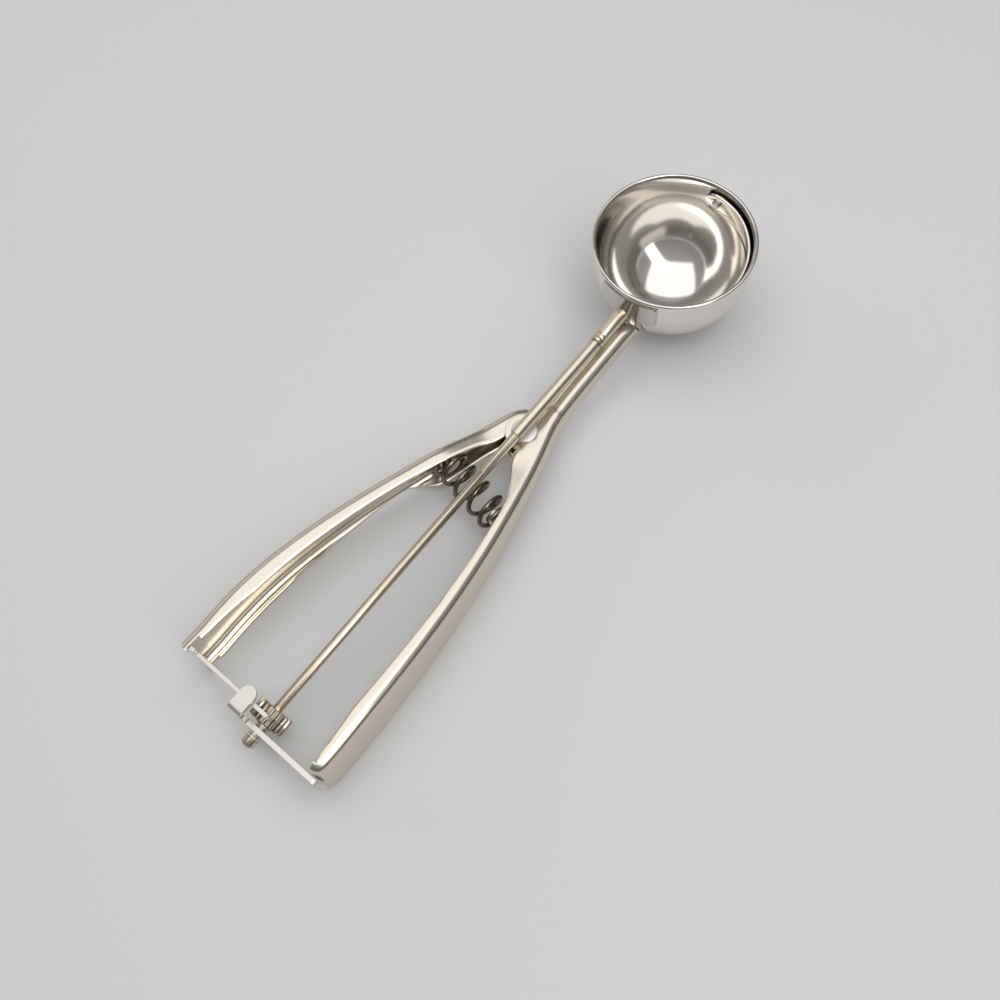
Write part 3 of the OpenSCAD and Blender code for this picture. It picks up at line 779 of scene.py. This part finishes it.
@dataclass
class LeverHandle(Channel):
    """The lever handle: grip, hook for the rack and the nose between the fixed ears."""

    spread: float = 32.75
    belly: float = 35.9
    neck: float = 23.8
    heel_y: float = -191.1
    heel_r: float = 3.2
    nose_r: float = 10.3
    lean: float = 19.0
    lean_end: float = 77.0
    flange_w: float = 6.6
    flange_change: Pairs = ((-46, -1.2), (-34, -1.4), (-20, -0.7), (-10, -0.5))
    tip_w: float = 4.2
    low_flange_w: float = 4.4
    relief_w: float = 1.0
    half_at_pivot: float = 3.65
    eye_r: float = 2.9
    ear_r: float = 5.6
    slot_run: float = 4.3

    def plan(self) -> tuple[np.ndarray, np.ndarray]:
        """The lever's back in plan and its directions: heel, grip curve and nose arc.

        Returns:
            The places and the unit directions.
        """
        nose = arc((0, TOOL.pivot_y), self.nose_r, 180 - self.lean, 180 - self.lean_end, 24)
        return smooth_track(np.concatenate([[(-self.spread, self.heel_y)],
                                            self.grip(-1, self.heel_y, nose[0]), nose[1:]]))

    def shell(self) -> Shell:
        """The pressed channel with its ears.

        Returns:
            The sheet and both ears.
        """
        track, way = self.plan()
        y = track[:, 1]
        pivot, heel = TOOL.pivot_y, self.heel_y
        half = eased(y, [*self.taper(), (self.spring_y + 3.2, self.spring_half - 0.38),
                         (pivot - 6.8, self.half_at_pivot)], 4.5)
        w, eye = self.flange_w, (pivot - 6, self.nose_r - self.eye_r)
        upper = eased(y, [(heel, self.tip_w), (heel + self.straight, self.tip_w + 0.6), (heel + 26, w), eye,
                          *self.flange()])
        low, relief = self.low_flange_w, self.relief_w
        lower = eased(y, [(heel, low), (heel + 34, low), (self.spring_y - 15, relief),
                          (self.spring_y - 9, relief), (self.spring_y - 2, w), eye], 3.5)
        inward = np.stack([way[:, 1], -way[:, 0]], -1)
        ring = self.section(half, upper, lower, self.droop(y))
        rows = self.sweep(track, inward, ring, np.full(len(y), TOOL.mid_z))
        return joined([carried(rows, sheet_caps), self.ears(self.ear_r, self.half_at_pivot)])

    def cutters(self) -> list[Shell]:
        """What is cut from the channel: the tabs' slots, the heel's corner and what lies under the
        upper flange from the rack to the rear.

        Returns:
            The closed shells that are taken away.
        """
        x, g = TOOL.tab_x, TOOL.move_gap
        half = TOOL.tab_w / 2 + g
        y0, y1 = TOOL.rack_rear - g, TOOL.rack_rear + self.slot_run + g
        slot = np.array([(x - half, y0), (x + half, y0), (x + half, y1), (x - half, y1)])
        r, left, rear = self.heel_r, -self.spread, self.heel_y
        round_end = arc((left + r, rear + r), r, 270, 180, 12)
        heel = np.concatenate([[(left - 2, rear - 2), (left + r, rear - 2)], round_end,
                               [(left - 2, rear + r)]])
        right, stop = left + self.flange_w + 1, -TOOL.rack_back
        under = np.array([(left - 1, rear - 1), (right, rear - 1), (right, stop), (left - 1, stop)])
        return [prism(slot, -1, TOOL.channel_h + 1), prism(heel, -2, TOOL.channel_h + 2),
                prism(under, -1.5, TOOL.channel_h - 2 * TOOL.sheet_t)]

    def build(self) -> list[bpy.types.Object]:
        """Builds the lever handle."""
        return [Piece("lever_handle_sheet", Body.LEVER, SATIN_SHEET, "lever_handle", self.shell(),
                      cutters=self.cutters()).make()]


# Bowl


@dataclass
class Bowl:
    """The bowl with its rolled rim, the saddle plate behind it and the far pivot pin."""

    saddle_t: float = 1.0
    wing_x: float = 1.0
    wing_w: float = 20.0
    wing_h: float = 9.0
    root_left: float = -0.6
    root_right: float = 6.0
    root_low: float = 11.4
    barrel_d: float = 4.6
    barrel_start: float = 24.5
    barrel_end: float = 38.5
    seam: float = 3.0
    pin_start: float = 22.4
    pin_d: float = 2.8
    pin_head_d: float = 5.6
    pin_head_s: float = 25.9545
    pin_head_h: float = 1.0

    def bowl_shell(self) -> Shell:
        """Half sphere, straight collar and rolled rim, turned about the bowl's axis.

        Returns:
            Wall and rim in one skin.
        """
        out, bead = TOOL.bowl_r, TOOL.rim_d / 2
        inn, lip = out - TOOL.bowl_wall, TOOL.rim_z - bead
        outside = arc((0, out), out, -90, 0, 64)
        inside = arc((0, out), inn, 0, -90, 64)
        collar_out = np.array([(out, out + 0.6), (out, out + 4), (out, lip - bead - 0.15)])
        rim = arc((out, lip), bead, -75, 170, 22)
        collar_in = np.array([(inn + 0.06, lip - 0.1), (inn, lip - 0.5), (inn, out + 4), (inn, out + 0.6)])
        return turned(np.concatenate([outside, collar_out, rim, collar_in, inside]), 192)

    def saddle_shell(self) -> Shell:
        """The saddle plate: rows of a rounded outline laid on the bowl's outer surface.

        At each height z the plate reaches from left(z) to right(z), and y = -sqrt(R(z)^2 - x^2)
        with R(z) the radius of the bowl's outside at that height, first outside and then inside.

        Returns:
            The plate.
        """
        top, r = TOOL.rim_z - TOOL.rim_d - 2 * TOOL.seat_gap, 1.5
        low = top - self.wing_h
        z = np.concatenate([np.linspace(self.root_low, low - 0.8, 14),
                            np.linspace(low - 0.7, low + 0.9, 10), np.linspace(low + 1.2, top - r, 10),
                            top - r + r * np.sin(np.linspace(0.1, np.pi / 2, 10))])
        left_wing, right_wing = self.wing_x - self.wing_w / 2, self.wing_x + self.wing_w / 2
        flare = 1 / (1 + np.exp(-(z - low) / 0.16))
        inset = r - np.sqrt(np.maximum(r * r - np.clip(z - (top - r), 0, r) ** 2, 0))
        left = self.root_left + (left_wing - self.root_left) * flare + inset
        right = self.root_right + (right_wing - self.root_right) * flare - inset
        u = np.linspace(0, 1, 41)
        x = left[:, None] + (right - left)[:, None] * u
        sheets = []
        for radius in (TOOL.bowl_r + TOOL.seat_gap + self.saddle_t, TOOL.bowl_r + TOOL.seat_gap):
            drop = np.minimum(z - TOOL.bowl_r, 0)
            across = np.sqrt(radius ** 2 - drop ** 2)[:, None]
            y = -np.sqrt(across ** 2 - x ** 2)
            sheets.append(np.stack([x, y, np.broadcast_to(z[:, None], x.shape)], -1))
        rows = np.concatenate([sheets[0], sheets[1][:, ::-1]], 1)
        return carried(rows, sheet_caps)

    def barrel_shell(self) -> Shell:
        """The rolled barrel: a thick arc that leaves a narrow seam, carried along the shaft.

        Returns:
            The barrel.
        """
        first, last, outside = 90 + self.seam, 450 - self.seam, self.barrel_d / 2
        ring = np.concatenate([arc((0, 0), outside, first, last, 61),
                               arc((0, 0), TOOL.bore_r, last, first, 61)])
        s = self.barrel_end - np.array([self.barrel_end - self.barrel_start, 1.7, 1.6, 1.5, 0.25, 0])
        grow = np.array([1, 1, 0.985, 1, 1, 0.93])
        outer = np.hypot(*ring.T) > (TOOL.bore_r + outside) / 2
        rows = lifted(ring * np.where(outer, grow[:, None], 1.0)[..., None], s[:, None])
        return moved(carried(rows, sheet_caps), TOOL.on_shaft)

    def far_pin_shell(self) -> Shell:
        """The far pin: a short shank through the wall and a low domed head outside.

        Returns:
            The pin.
        """
        head = self.pin_head_s
        dome = arc((0, 0), 1, 0, 90, 14) * np.array([self.pin_head_d / 2, self.pin_head_h])
        start, r = self.pin_start, self.pin_d / 2
        profile = [(0, start), (r - 0.2, start), (r, start + 0.2), (r, head)]
        profile += [(self.pin_head_d / 2 - 0.1, head)] + [(x, head + 0.08 + h * 0.92) for x, h in dome]
        return moved(turned(profile), lambda points: TOOL.on_shaft(points * np.array([1, 1, -1])))

    def build(self) -> list[bpy.types.Object]:
        """Builds the bowl's fixed pieces."""
        return [Piece(name, Body.FRAME, finish, node, shell).make() for name, finish, node, shell in (
            ("bowl_shell", BOWL_MIRROR, "bowl", self.bowl_shell()),
            ("saddle_plate", SADDLE_MIRROR, "bowl_saddle", self.saddle_shell()),
            ("saddle_barrel", SLEEVE_METAL, "bowl_saddle", self.barrel_shell()),
            ("far_pin", RIVET_STEEL, "far_pivot_pin", self.far_pin_shell()))]


# Scraper and shaft


@dataclass
class Scraper:
    """Everything that turns with the shaft: blade, rod, sleeve, collar, pinion and ring."""

    blade_w: float = 8.5
    blade_t: float = 0.8
    blade_out: float = 24.25
    shaft_d: float = 3.0
    peen_out: float = 0.8
    peen_h: float = 0.6
    joint_s: float = 94.8
    joint_depth: float = 0.07
    sleeve: tuple[float, float] = (40.0, 79.5)
    sleeve_d: float = 3.9
    collar: tuple[float, float] = (38.65, 39.85)
    collar_d: float = 4.6
    teeth: int = 14
    pinion_len: float = 5.5
    journal_d: float = 3.9
    journal_out: float = 4.6
    stub_out: float = 0.22
    groove_depth: float = 0.25
    ring_out: float = 1.1
    ring_w: float = 0.9

    def __post_init__(self) -> None:
        """Works out the places along the shaft of the toothed wheel, the journal's end and the ring."""
        self.pinion_s = TOOL.along(TOOL.pinion_rear) - self.pinion_len
        self.journal_s = TOOL.along(TOOL.bar_rear) + self.journal_out
        self.ring_s = TOOL.along(TOOL.bar_rear) + self.ring_out

    def blade_shell(self) -> Shell:
        """The blade: a band on a sphere about the bowl's centre.

        Along the band the angle a runs from just past one pole to just past the other; across
        it the angle b runs over the width. A point is r (cos a cos b, sin b, sin a cos b). The
        width is full between the poles and closes past each pole in a half circle.

        Returns:
            The band.
        """
        mid = self.blade_out - self.blade_t / 2
        half = self.blade_w / 2
        end = np.linspace(0, np.pi / 2, 16)
        past, narrow = np.sin(end), np.cos(end)
        body = np.linspace(-np.pi / 2, np.pi / 2, 120)
        a = np.concatenate([(-np.pi / 2 - past * half / mid)[::-1], body[1:-1],
                            np.pi / 2 + past * half / mid])
        width = np.concatenate([narrow[::-1], np.ones(len(body) - 2), narrow]) * half
        width = np.maximum(width, 0.02)
        t, e = self.blade_t / 2, 0.2
        offset = np.array([t - e, t - 0.06, t, t, t, t, t, t - 0.06, t - e])
        across = np.array([1, 0.985, 0.955, 0.5, 0.0, -0.5, -0.955, -0.985, -1])
        radius = mid + np.concatenate([offset, -offset])
        share = np.concatenate([across, across[::-1]])
        b = np.arcsin(share * width[:, None] / mid)
        rows = np.stack([radius * np.cos(a)[:, None] * np.cos(b), radius * np.sin(b),
                         radius * np.sin(a)[:, None] * np.cos(b)], -1)
        return moved(carried(rows, sheet_caps), TOOL.on_shaft)

    def rod_shell(self) -> Shell:
        """The rod: a peened head inside the blade, the long shaft and a domed tip.

        Returns:
            The rod.
        """
        r, head = self.shaft_d / 2, self.blade_out - self.blade_t - 0.9
        tip = arc((0, 0), 1, 0, 90, 10) * np.array([r, 0.5])
        wide, peened, line, low = r + self.peen_out, head + self.peen_h, self.joint_s, r - self.joint_depth
        profile = [(0, head), (wide - 0.3, head), (wide, head + 0.2), (wide, peened), (r, peened),
                   (r, line - 0.2), (low, line - 0.1), (low, line + 0.1), (r, line + 0.2),
                   (r, self.journal_s)]
        profile += [(radius, self.journal_s + rise) for radius, rise in tip]
        return moved(turned(profile, 64), TOOL.on_shaft)

    @staticmethod
    def tube_shell(start: float, end: float, radius: float, chamfer: float, bore: float) -> Shell:
        """A short tube on the shaft with chamfered ends, turned from a closed profile.

        Args:
            start: where it starts along the shaft.
            end: where it ends.
            radius: its outer radius.
            chamfer: size of the chamfers.
            bore: its inner radius.
        Returns:
            The tube.
        """
        r = radius - chamfer
        return moved(turned([(bore, start), (r, start), (radius, start + chamfer), (radius, end - chamfer),
                             (r, end), (bore, end), (bore, start)], 72), TOOL.on_shaft)

    def tooth_outline(self) -> np.ndarray:
        """Outline of the toothed wheel: involute flanks, a flat root and a short rounded tip.

        A flank's point is r (cos a, sin a), with a the tooth's half angle at the radius r.

        Returns:
            An (n, 2) array about the wheel's middle.
        """
        pitch = self.teeth * TOOL.module / 2
        base = pitch * math.cos(PRESSURE)
        tip, root = pitch + TOOL.addendum, pitch - TOOL.dedendum
        radii = np.concatenate([[root], np.linspace(max(root + 0.1, base), tip - 0.12, 7), [tip]])
        pressure = np.arccos(np.clip(base / radii, None, 1))
        flank = np.pi / 2 / self.teeth - TOOL.tooth_gap / pitch + (math.tan(PRESSURE) - PRESSURE) \
            - (np.tan(pressure) - pressure)
        flank[-1] -= 0.016
        one = np.stack([np.concatenate([radii, radii[::-1]]), np.concatenate([-flank, flank[::-1]])], -1)
        turn = 2 * np.pi * (np.arange(self.teeth) + 0.5) / self.teeth + np.pi / 2
        radius = np.broadcast_to(one[:, 0], (self.teeth, len(one)))
        angle = turn[:, None] + one[:, 1]
        return np.stack([radius * np.cos(angle), radius * np.sin(angle)], -1).reshape(-1, 2)

    def pinion_shell(self) -> Shell:
        """The toothed wheel with chamfered ends, its shoulder and its grooved journal.

        Returns:
            The wheel and its journal.
        """
        chamfer, length = 0.22, self.pinion_len
        s = self.pinion_s + np.array([0, chamfer, length - chamfer, length])
        size = np.array([0.955, 1, 1, 0.955])
        wheel = carried(lifted(self.tooth_outline() * size[:, None, None], s[:, None]), disc_caps)
        b, j, end = TOOL.bore_r, self.journal_d / 2, self.journal_s
        start = self.pinion_s + self.pinion_len
        groove, head, lip = j - self.groove_depth, j + self.stub_out, self.ring_s + self.ring_w + 0.1
        hub, sunk = j + 0.8, start - 0.05
        profile = [(b, sunk), (hub - 0.1, sunk), (hub, start + 0.1), (hub, start + 0.5),
                   (hub - 0.1, start + 0.6), (j, start + 0.6), (j, self.ring_s), (groove, self.ring_s),
                   (groove, lip), (head - 0.1, lip), (head, lip + 0.12), (head, end - 0.45),
                   (head - 0.12, end - 0.18), (head - 0.45, end), (b, end), (b, sunk)]
        return moved(joined([wheel, turned(profile, 72)]), TOOL.on_shaft)

    def ring_shell(self) -> Shell:
        """The retaining ring in the journal's groove."""
        start = self.ring_s + 0.05
        return self.tube_shell(start, start + self.ring_w, self.journal_d / 2 + self.stub_out, 0.12,
                               self.journal_d / 2 - 0.2)

    def build(self) -> list[bpy.types.Object]:
        """Builds the turning pieces.

        Returns:
            The pieces' objects.
        """
        sleeve = self.tube_shell(*self.sleeve, self.sleeve_d / 2, 0.15, TOOL.bore_r)
        collar = self.tube_shell(*self.collar, self.collar_d / 2, 0.12, TOOL.bore_r)
        return [Piece(name, Body.SCRAPER, finish, node, shell).make() for name, finish, node, shell in (
            ("scraper_band", BLADE_MIRROR, "scraper_blade", self.blade_shell()),
            ("shaft_rod", SATIN_ROD, "shaft", self.rod_shell()),
            ("sleeve_tube", SLEEVE_METAL, "shaft_sleeve", sleeve),
            ("thrust_ring", SLEEVE_METAL, "thrust_collar", collar),
            ("pinion_wheel", TOOTH_STEEL, "pinion", self.pinion_shell()),
            ("journal_ring", TURNED_STEEL, "retaining_ring", self.ring_shell()))]


# Rack and bar


@dataclass
class RackDrive:
    """The rack strip and the support bar with its guide tongue."""

    rack_t: float = 1.3
    rack_top: float = 20.6
    root_z: float = 16.466
    pitch_z: float = 15.59
    teeth: int = 10
    free_end: float = 3.3
    tab_end: float = 0.3
    bar_t: float = 1.5
    bar_h: float = 10.5
    bar_front: float = -193.3
    bar_end: float = 24.8
    tongue_w: float = 5.1
    tongue_x: float = -5.3
    tongue_z: float = 20.95
    tongue_y: float = -188.6
    tongue_root: float = 1.4

    def rack_outline(self) -> np.ndarray:
        """Side view of the rack: hook, tabs, back and hanging teeth.

        Returns:
            An (n, 2) array in X and Z.
        """
        left, right = TOOL.tab_x - TOOL.tab_w / 2, TOOL.tab_x + TOOL.tab_w / 2
        deep, low = right + 0.6, TOOL.sheet_t + TOOL.move_gap
        high, tab_top = TOOL.channel_h - low, TOOL.channel_h - self.tab_end
        top, end = self.rack_top, self.free_end
        start = [(right, low), (right, self.tab_end), (left, self.tab_end), (left, tab_top),
                 (right, tab_top), (right, high), (deep, high), (deep + 0.8, top),
                 (end - 0.8, top), (end, top - 0.8), (end, self.root_z)]
        pitch, slope = math.pi * TOOL.module, math.tan(PRESSURE)
        half = pitch / 4 - TOOL.tooth_gap
        up, down = half + TOOL.dedendum * slope, half - TOOL.addendum * slope
        tip = self.pitch_z - TOOL.addendum
        one = np.array([(up, self.root_z), (down, tip), (-down, tip), (-up, self.root_z)])
        shift = -np.arange(-1, self.teeth - 1) * pitch
        teeth = (one[None] + np.stack([shift, 0 * shift], -1)[:, None]).reshape(-1, 2)
        foot = [(deep + 2.4, self.root_z), (deep + 1.3, self.root_z - 0.7), (deep + 0.4, self.root_z - 2.4),
                (deep, self.root_z - 4.5), (deep, low)]
        return np.concatenate([start, teeth, foot])

    @staticmethod
    def upright(outline: np.ndarray, front: float, thick: float) -> Shell:
        """A plate that stands across the tool: outline in X and Z, thickness back from front."""
        return moved(prism(outline, 0, thick), lambda p: np.stack([p[:, 0], front - p[:, 2], p[:, 1]], -1))

    def bar_outline(self) -> np.ndarray:
        """Rear view of the bar: round end on the journal, straight arm and rounded far end.

        Returns:
            An (n, 2) array in X and Z.
        """
        z = TOOL.bowl_r + (self.bar_front - self.bar_t / 2) * math.tan(TOOL.tilt)
        h, end, r = self.bar_h / 2, self.bar_end, 2.0
        left, right = self.tongue_x - self.tongue_w / 2, self.tongue_x + self.tongue_w / 2
        tongue_low = self.tongue_z - 0.4
        neck = [(left + 0.6, z - 2.0), (left, z - 1.4), (left, tongue_low), (right, tongue_low),
                (right, z + h - 0.3), (right + 0.3, z + h)]
        return np.concatenate([arc((end - r, z - h + r), r, 0, -90, 8), arc((0, z), h, 270, 205, 12), neck,
                               arc((end - r, z + h - r), r, 90, 0, 8)])

    def tongue_shell(self) -> Shell:
        """The tongue: the bar's strip bent forward over the rack, with a round front end.

        A flat section of the strip's width and thickness follows a path up, round a bend and
        forward. Past the start of the round end its half width is sqrt(r^2 - d^2).

        Returns:
            The tongue.
        """
        t, bend = self.bar_t, 0.2 + self.bar_t / 2
        rear, top = self.bar_front - t / 2, self.tongue_z + t / 2
        corner = arc((rear + bend, top - bend), bend, 180, 90, 12)
        end = np.linspace(0, np.pi / 2, 16)
        r = self.tongue_w / 2
        front = np.stack([self.tongue_y + r * np.sin(end), 0 * end + top], -1)
        path = np.concatenate([[(rear, self.tongue_z - self.tongue_root)], corner, front])
        half = np.concatenate([np.full(1 + len(corner), r), np.maximum(r * np.cos(end), 0.02)])
        slope = np.gradient(path, axis=0)
        slope /= np.hypot(*slope.T)[:, None]
        normal = np.stack([-slope[:, 1], slope[:, 0]], -1)
        share = np.array([1, 1, 0.97, 0, -0.97, -1, -1, -1, -0.97, 0, 0.97, 1])
        flat, edge = t / 2, t / 2 - 0.16
        depth = np.array([0, edge, flat, flat, flat, edge, 0, -edge, -flat, -flat, -flat, -edge])
        rows = np.empty((len(path), len(share), 3))
        rows[..., 0] = self.tongue_x + half[:, None] * share
        rows[..., 1:] = path[:, None] + normal[:, None] * depth[:, None]
        return carried(rows, disc_caps)

    def build(self) -> list[bpy.types.Object]:
        """Builds the rack and the bar.

        Returns:
            The pieces' objects.
        """
        rack = self.upright(self.rack_outline(), TOOL.rack_rear + self.rack_t, self.rack_t)
        bar = joined([self.upright(self.bar_outline(), self.bar_front, self.bar_t), self.tongue_shell()])
        return [Piece("rack_strip", Body.RACK, BAR_STEEL, "rack", rack, 0.12).make(),
                Piece("bar_plate", Body.FRAME, BAR_STEEL, "support_bar", bar, 0.14).make()]


# Pivot and spring


@dataclass
class Pivot:
    """The rivet, the return spring round its pegs, and the plain nodes that stay."""

    rivet_d: float = 4.0
    head_d: float = 8.5
    head_h: float = 1.2
    head_edge: float = 0.6
    head_crown: float = 0.2
    ear_top: float = 15.4
    wire_d: float = 1.55
    spring_d: float = 11.4
    spring_z: float = 10.259
    turns: float = 5.0
    steps_per_turn: int = 64
    closing: float = 0.055
    first_angle: float = 120.0
    spring_back: float = 24.0
    cant: float = 12.0
    lever_seat: float = -15.3701
    fixed_seat: float = 12.4798

    def rivet_shell(self) -> Shell:
        """The rivet: a shank between two nearly flat heads with a rounded edge.

        Returns:
            The rivet.
        """
        top = self.ear_top + TOOL.seat_gap
        r, edge = self.head_d / 2, self.head_edge
        crown = np.linspace(0.85, 0, 8)[:, None] * np.array([r - edge, 0])
        crown[:, 1] = self.head_h - self.head_crown * (crown[:, 0] / (r - edge)) ** 2
        rim = arc((r - edge, self.head_h - self.head_crown - edge), edge, 0, 84, 10)
        dome = np.concatenate([[(r, 0)], rim, crown])
        upper = [(r, top + h) for r, h in dome]
        lower = [(r, 2 * TOOL.mid_z - z) for r, z in upper[::-1]]
        profile = lower + [(self.rivet_d / 2, 2 * TOOL.mid_z - top), (self.rivet_d / 2, top)] + upper
        return moved(turned(profile), lambda points: points + np.array([0, TOOL.pivot_y, 0]))

    def in_spring(self, points: np.ndarray) -> np.ndarray:
        """Carries points from the spring's own frame, +X along it, into the tool.

        Args:
            points: an (n, 3) array.
        Returns:
            The points in the tool's millimetres.
        """
        c, s = math.cos(math.radians(self.cant)), math.sin(math.radians(self.cant))
        turn = np.array([[c, -s, 0], [s, c, 0], [0, 0, 1]])
        return points @ turn + np.array([0, TOOL.pivot_y - self.spring_back, self.spring_z])

    def spring_shell(self) -> Shell:
        """The spring: a circle carried along a helix whose end turns close up on the seats.

        Returns:
            The coil.
        """
        r, wire = (self.spring_d - self.wire_d) / 2, self.wire_d / 2
        x0, x1 = self.lever_seat + wire + TOOL.seat_gap, self.fixed_seat - wire - TOOL.seat_gap
        t = np.linspace(0, 1, int(self.steps_per_turn * self.turns))
        share = t - self.closing * np.sin(2 * np.pi * t)
        a = 2 * np.pi * self.turns * t + math.radians(self.first_angle)
        centre = np.stack([x0 + (x1 - x0) * share, r * np.cos(a), r * np.sin(a)], -1)
        way = np.gradient(centre, axis=0)
        way /= np.linalg.norm(way, axis=1)[:, None]
        out = np.stack([0 * a, np.cos(a), np.sin(a)], -1)
        side = np.cross(way, out)
        b = np.linspace(0, 2 * np.pi, 18, endpoint=False)
        rows = centre[:, None] + wire * (np.cos(b)[None, :, None] * out[:, None]
                                         + np.sin(b)[None, :, None] * side[:, None])
        return moved(carried(rows, disc_caps), self.in_spring)

    def build(self) -> list[bpy.types.Object]:
        """Builds the rivet and the spring, and finishes the nodes that stay.

        Returns:
            The pieces' objects.
        """
        rivet = Piece("pivot_head", Body.FRAME, RIVET_STEEL, "pivot_rivet", self.rivet_shell()).make()
        turn = 2 * self.wire_d
        ends = np.array([(self.lever_seat + turn, 0, 0), (self.fixed_seat - turn, 0, 0)])
        spring = Piece("spring_coil", Body.FRAME, SPRING_WIRE, "return_spring", self.spring_shell(),
                       bend=TOOL.placed(self.in_spring(ends))).make()
        for node in ("pivot_spacer", "lever_spring_peg", "fixed_spring_peg"):
            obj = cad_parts[node]
            obj.data.materials.clear()
            obj.data.materials.append(TURNED_STEEL.material())
            LOG.info("%s: the node stays", node)
        return [rivet, spring]


# Studio


@dataclass
class Studio:
    """A pale floor, soft lights and the camera."""

    camera_at: tuple[float, float, float] = (113.208, -190.215, 320.691)
    camera_turn: tuple[float, float, float] = (24.29878, 3.66822, 40.27512)
    lens: float = 40.026
    sensor: float = 36.0
    nearest: float = 0.01
    floor_half: float = 2.5
    floor_drop: float = 0.0003
    floor_colour: tuple[float, float, float] = (0.86, 0.86, 0.855)
    floor_roughness: float = 0.8
    room_low: tuple[float, float, float] = (0.045, 0.045, 0.047)
    room_high: tuple[float, float, float] = (0.36, 0.36, 0.365)

    def floor(self) -> None:
        """A wide pale floor just under the tool."""
        half, low = self.floor_half, -self.floor_drop
        mesh = bpy.data.meshes.new("studio_floor")
        mesh.from_pydata([(-half, -half, low), (half, -half, low), (half, half, low), (-half, half, low)],
                         [], [(0, 1, 2, 3)])
        obj = bpy.data.objects.new("studio_floor", mesh)
        bpy.context.scene.collection.objects.link(obj)
        made = bpy.data.materials.new("pale_floor")
        made.use_nodes = True
        shader = made.node_tree.nodes["Principled BSDF"]
        shader.inputs["Base Color"].default_value = (*self.floor_colour, 1)
        shader.inputs["Roughness"].default_value = self.floor_roughness
        mesh.materials.append(made)

    def world(self) -> None:
        """A soft room: light overhead, darker towards the horizon."""
        room = bpy.data.worlds.new("studio")
        bpy.context.scene.world = room
        room.use_nodes = True
        tree = room.node_tree
        back = tree.nodes["Background"]
        back.inputs["Strength"].default_value = 1.0
        place = tree.nodes.new("ShaderNodeTexCoord")
        split = tree.nodes.new("ShaderNodeSeparateXYZ")
        ramp = tree.nodes.new("ShaderNodeValToRGB")
        low, high = ramp.color_ramp.elements
        low.position, low.color = 0.0, (*self.room_low, 1)
        high.position, high.color = 0.85, (*self.room_high, 1)
        tree.links.new(place.outputs["Generated"], split.inputs["Vector"])
        tree.links.new(split.outputs["Z"], ramp.inputs["Fac"])
        tree.links.new(ramp.outputs["Color"], back.inputs["Color"])

    @staticmethod
    def lamp(name: str, at: tuple[float, float, float], size: tuple[float, float], power: float) -> None:
        """A rectangular soft light that faces the middle of the tool.

        Args:
            name: the light's name.
            at: its place in metres.
            size: its width and height in metres.
            power: its power in watts.
        """
        light = bpy.data.lights.new(name, "AREA")
        light.shape = "RECTANGLE"
        light.size, light.size_y = size
        light.energy = power
        obj = bpy.data.objects.new(name, light)
        bpy.context.scene.collection.objects.link(obj)
        obj.location = at
        obj.rotation_euler = (-Vector(at)).to_track_quat("-Z", "Y").to_euler()

    def camera(self) -> None:
        """The camera at its measured place, looking down along the tool."""
        data = bpy.data.cameras.new("camera")
        data.lens = self.lens
        data.sensor_width = self.sensor
        data.clip_start = self.nearest
        obj = bpy.data.objects.new("camera", data)
        bpy.context.scene.collection.objects.link(obj)
        obj.location = TOOL.placed(self.camera_at)
        obj.rotation_euler = [math.radians(angle) for angle in self.camera_turn]
        bpy.context.scene.camera = obj

    def build(self) -> None:
        """Sets up the whole studio."""
        self.camera()
        self.floor()
        self.world()
        self.lamp("overhead_softbox", (-0.06, 0.10, 0.95), (1.3, 1.05), 3.9)
        self.lamp("right_softbox", (0.52, -0.05, 0.74), (0.26, 0.95), 1.5)
        self.lamp("left_softbox", (-0.95, 0.05, 0.34), (1.25, 0.45), 1.1)
        bpy.context.scene.view_settings.view_transform = "Standard"
        bpy.context.scene.view_settings.look = "None"


def main() -> None:
    """Builds the studio and each sub-assembly in order."""
    logging.basicConfig(level=logging.INFO, format="%(message)s")
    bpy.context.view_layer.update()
    Studio().build()
    for part in (Bowl(), Scraper(), FixedHandle(), LeverHandle(), RackDrive(), Pivot()):
        made = part.build()
        LOG.info("%s: %d pieces", type(part).__name__, len(made))


if __name__ == "__main__":
    main()
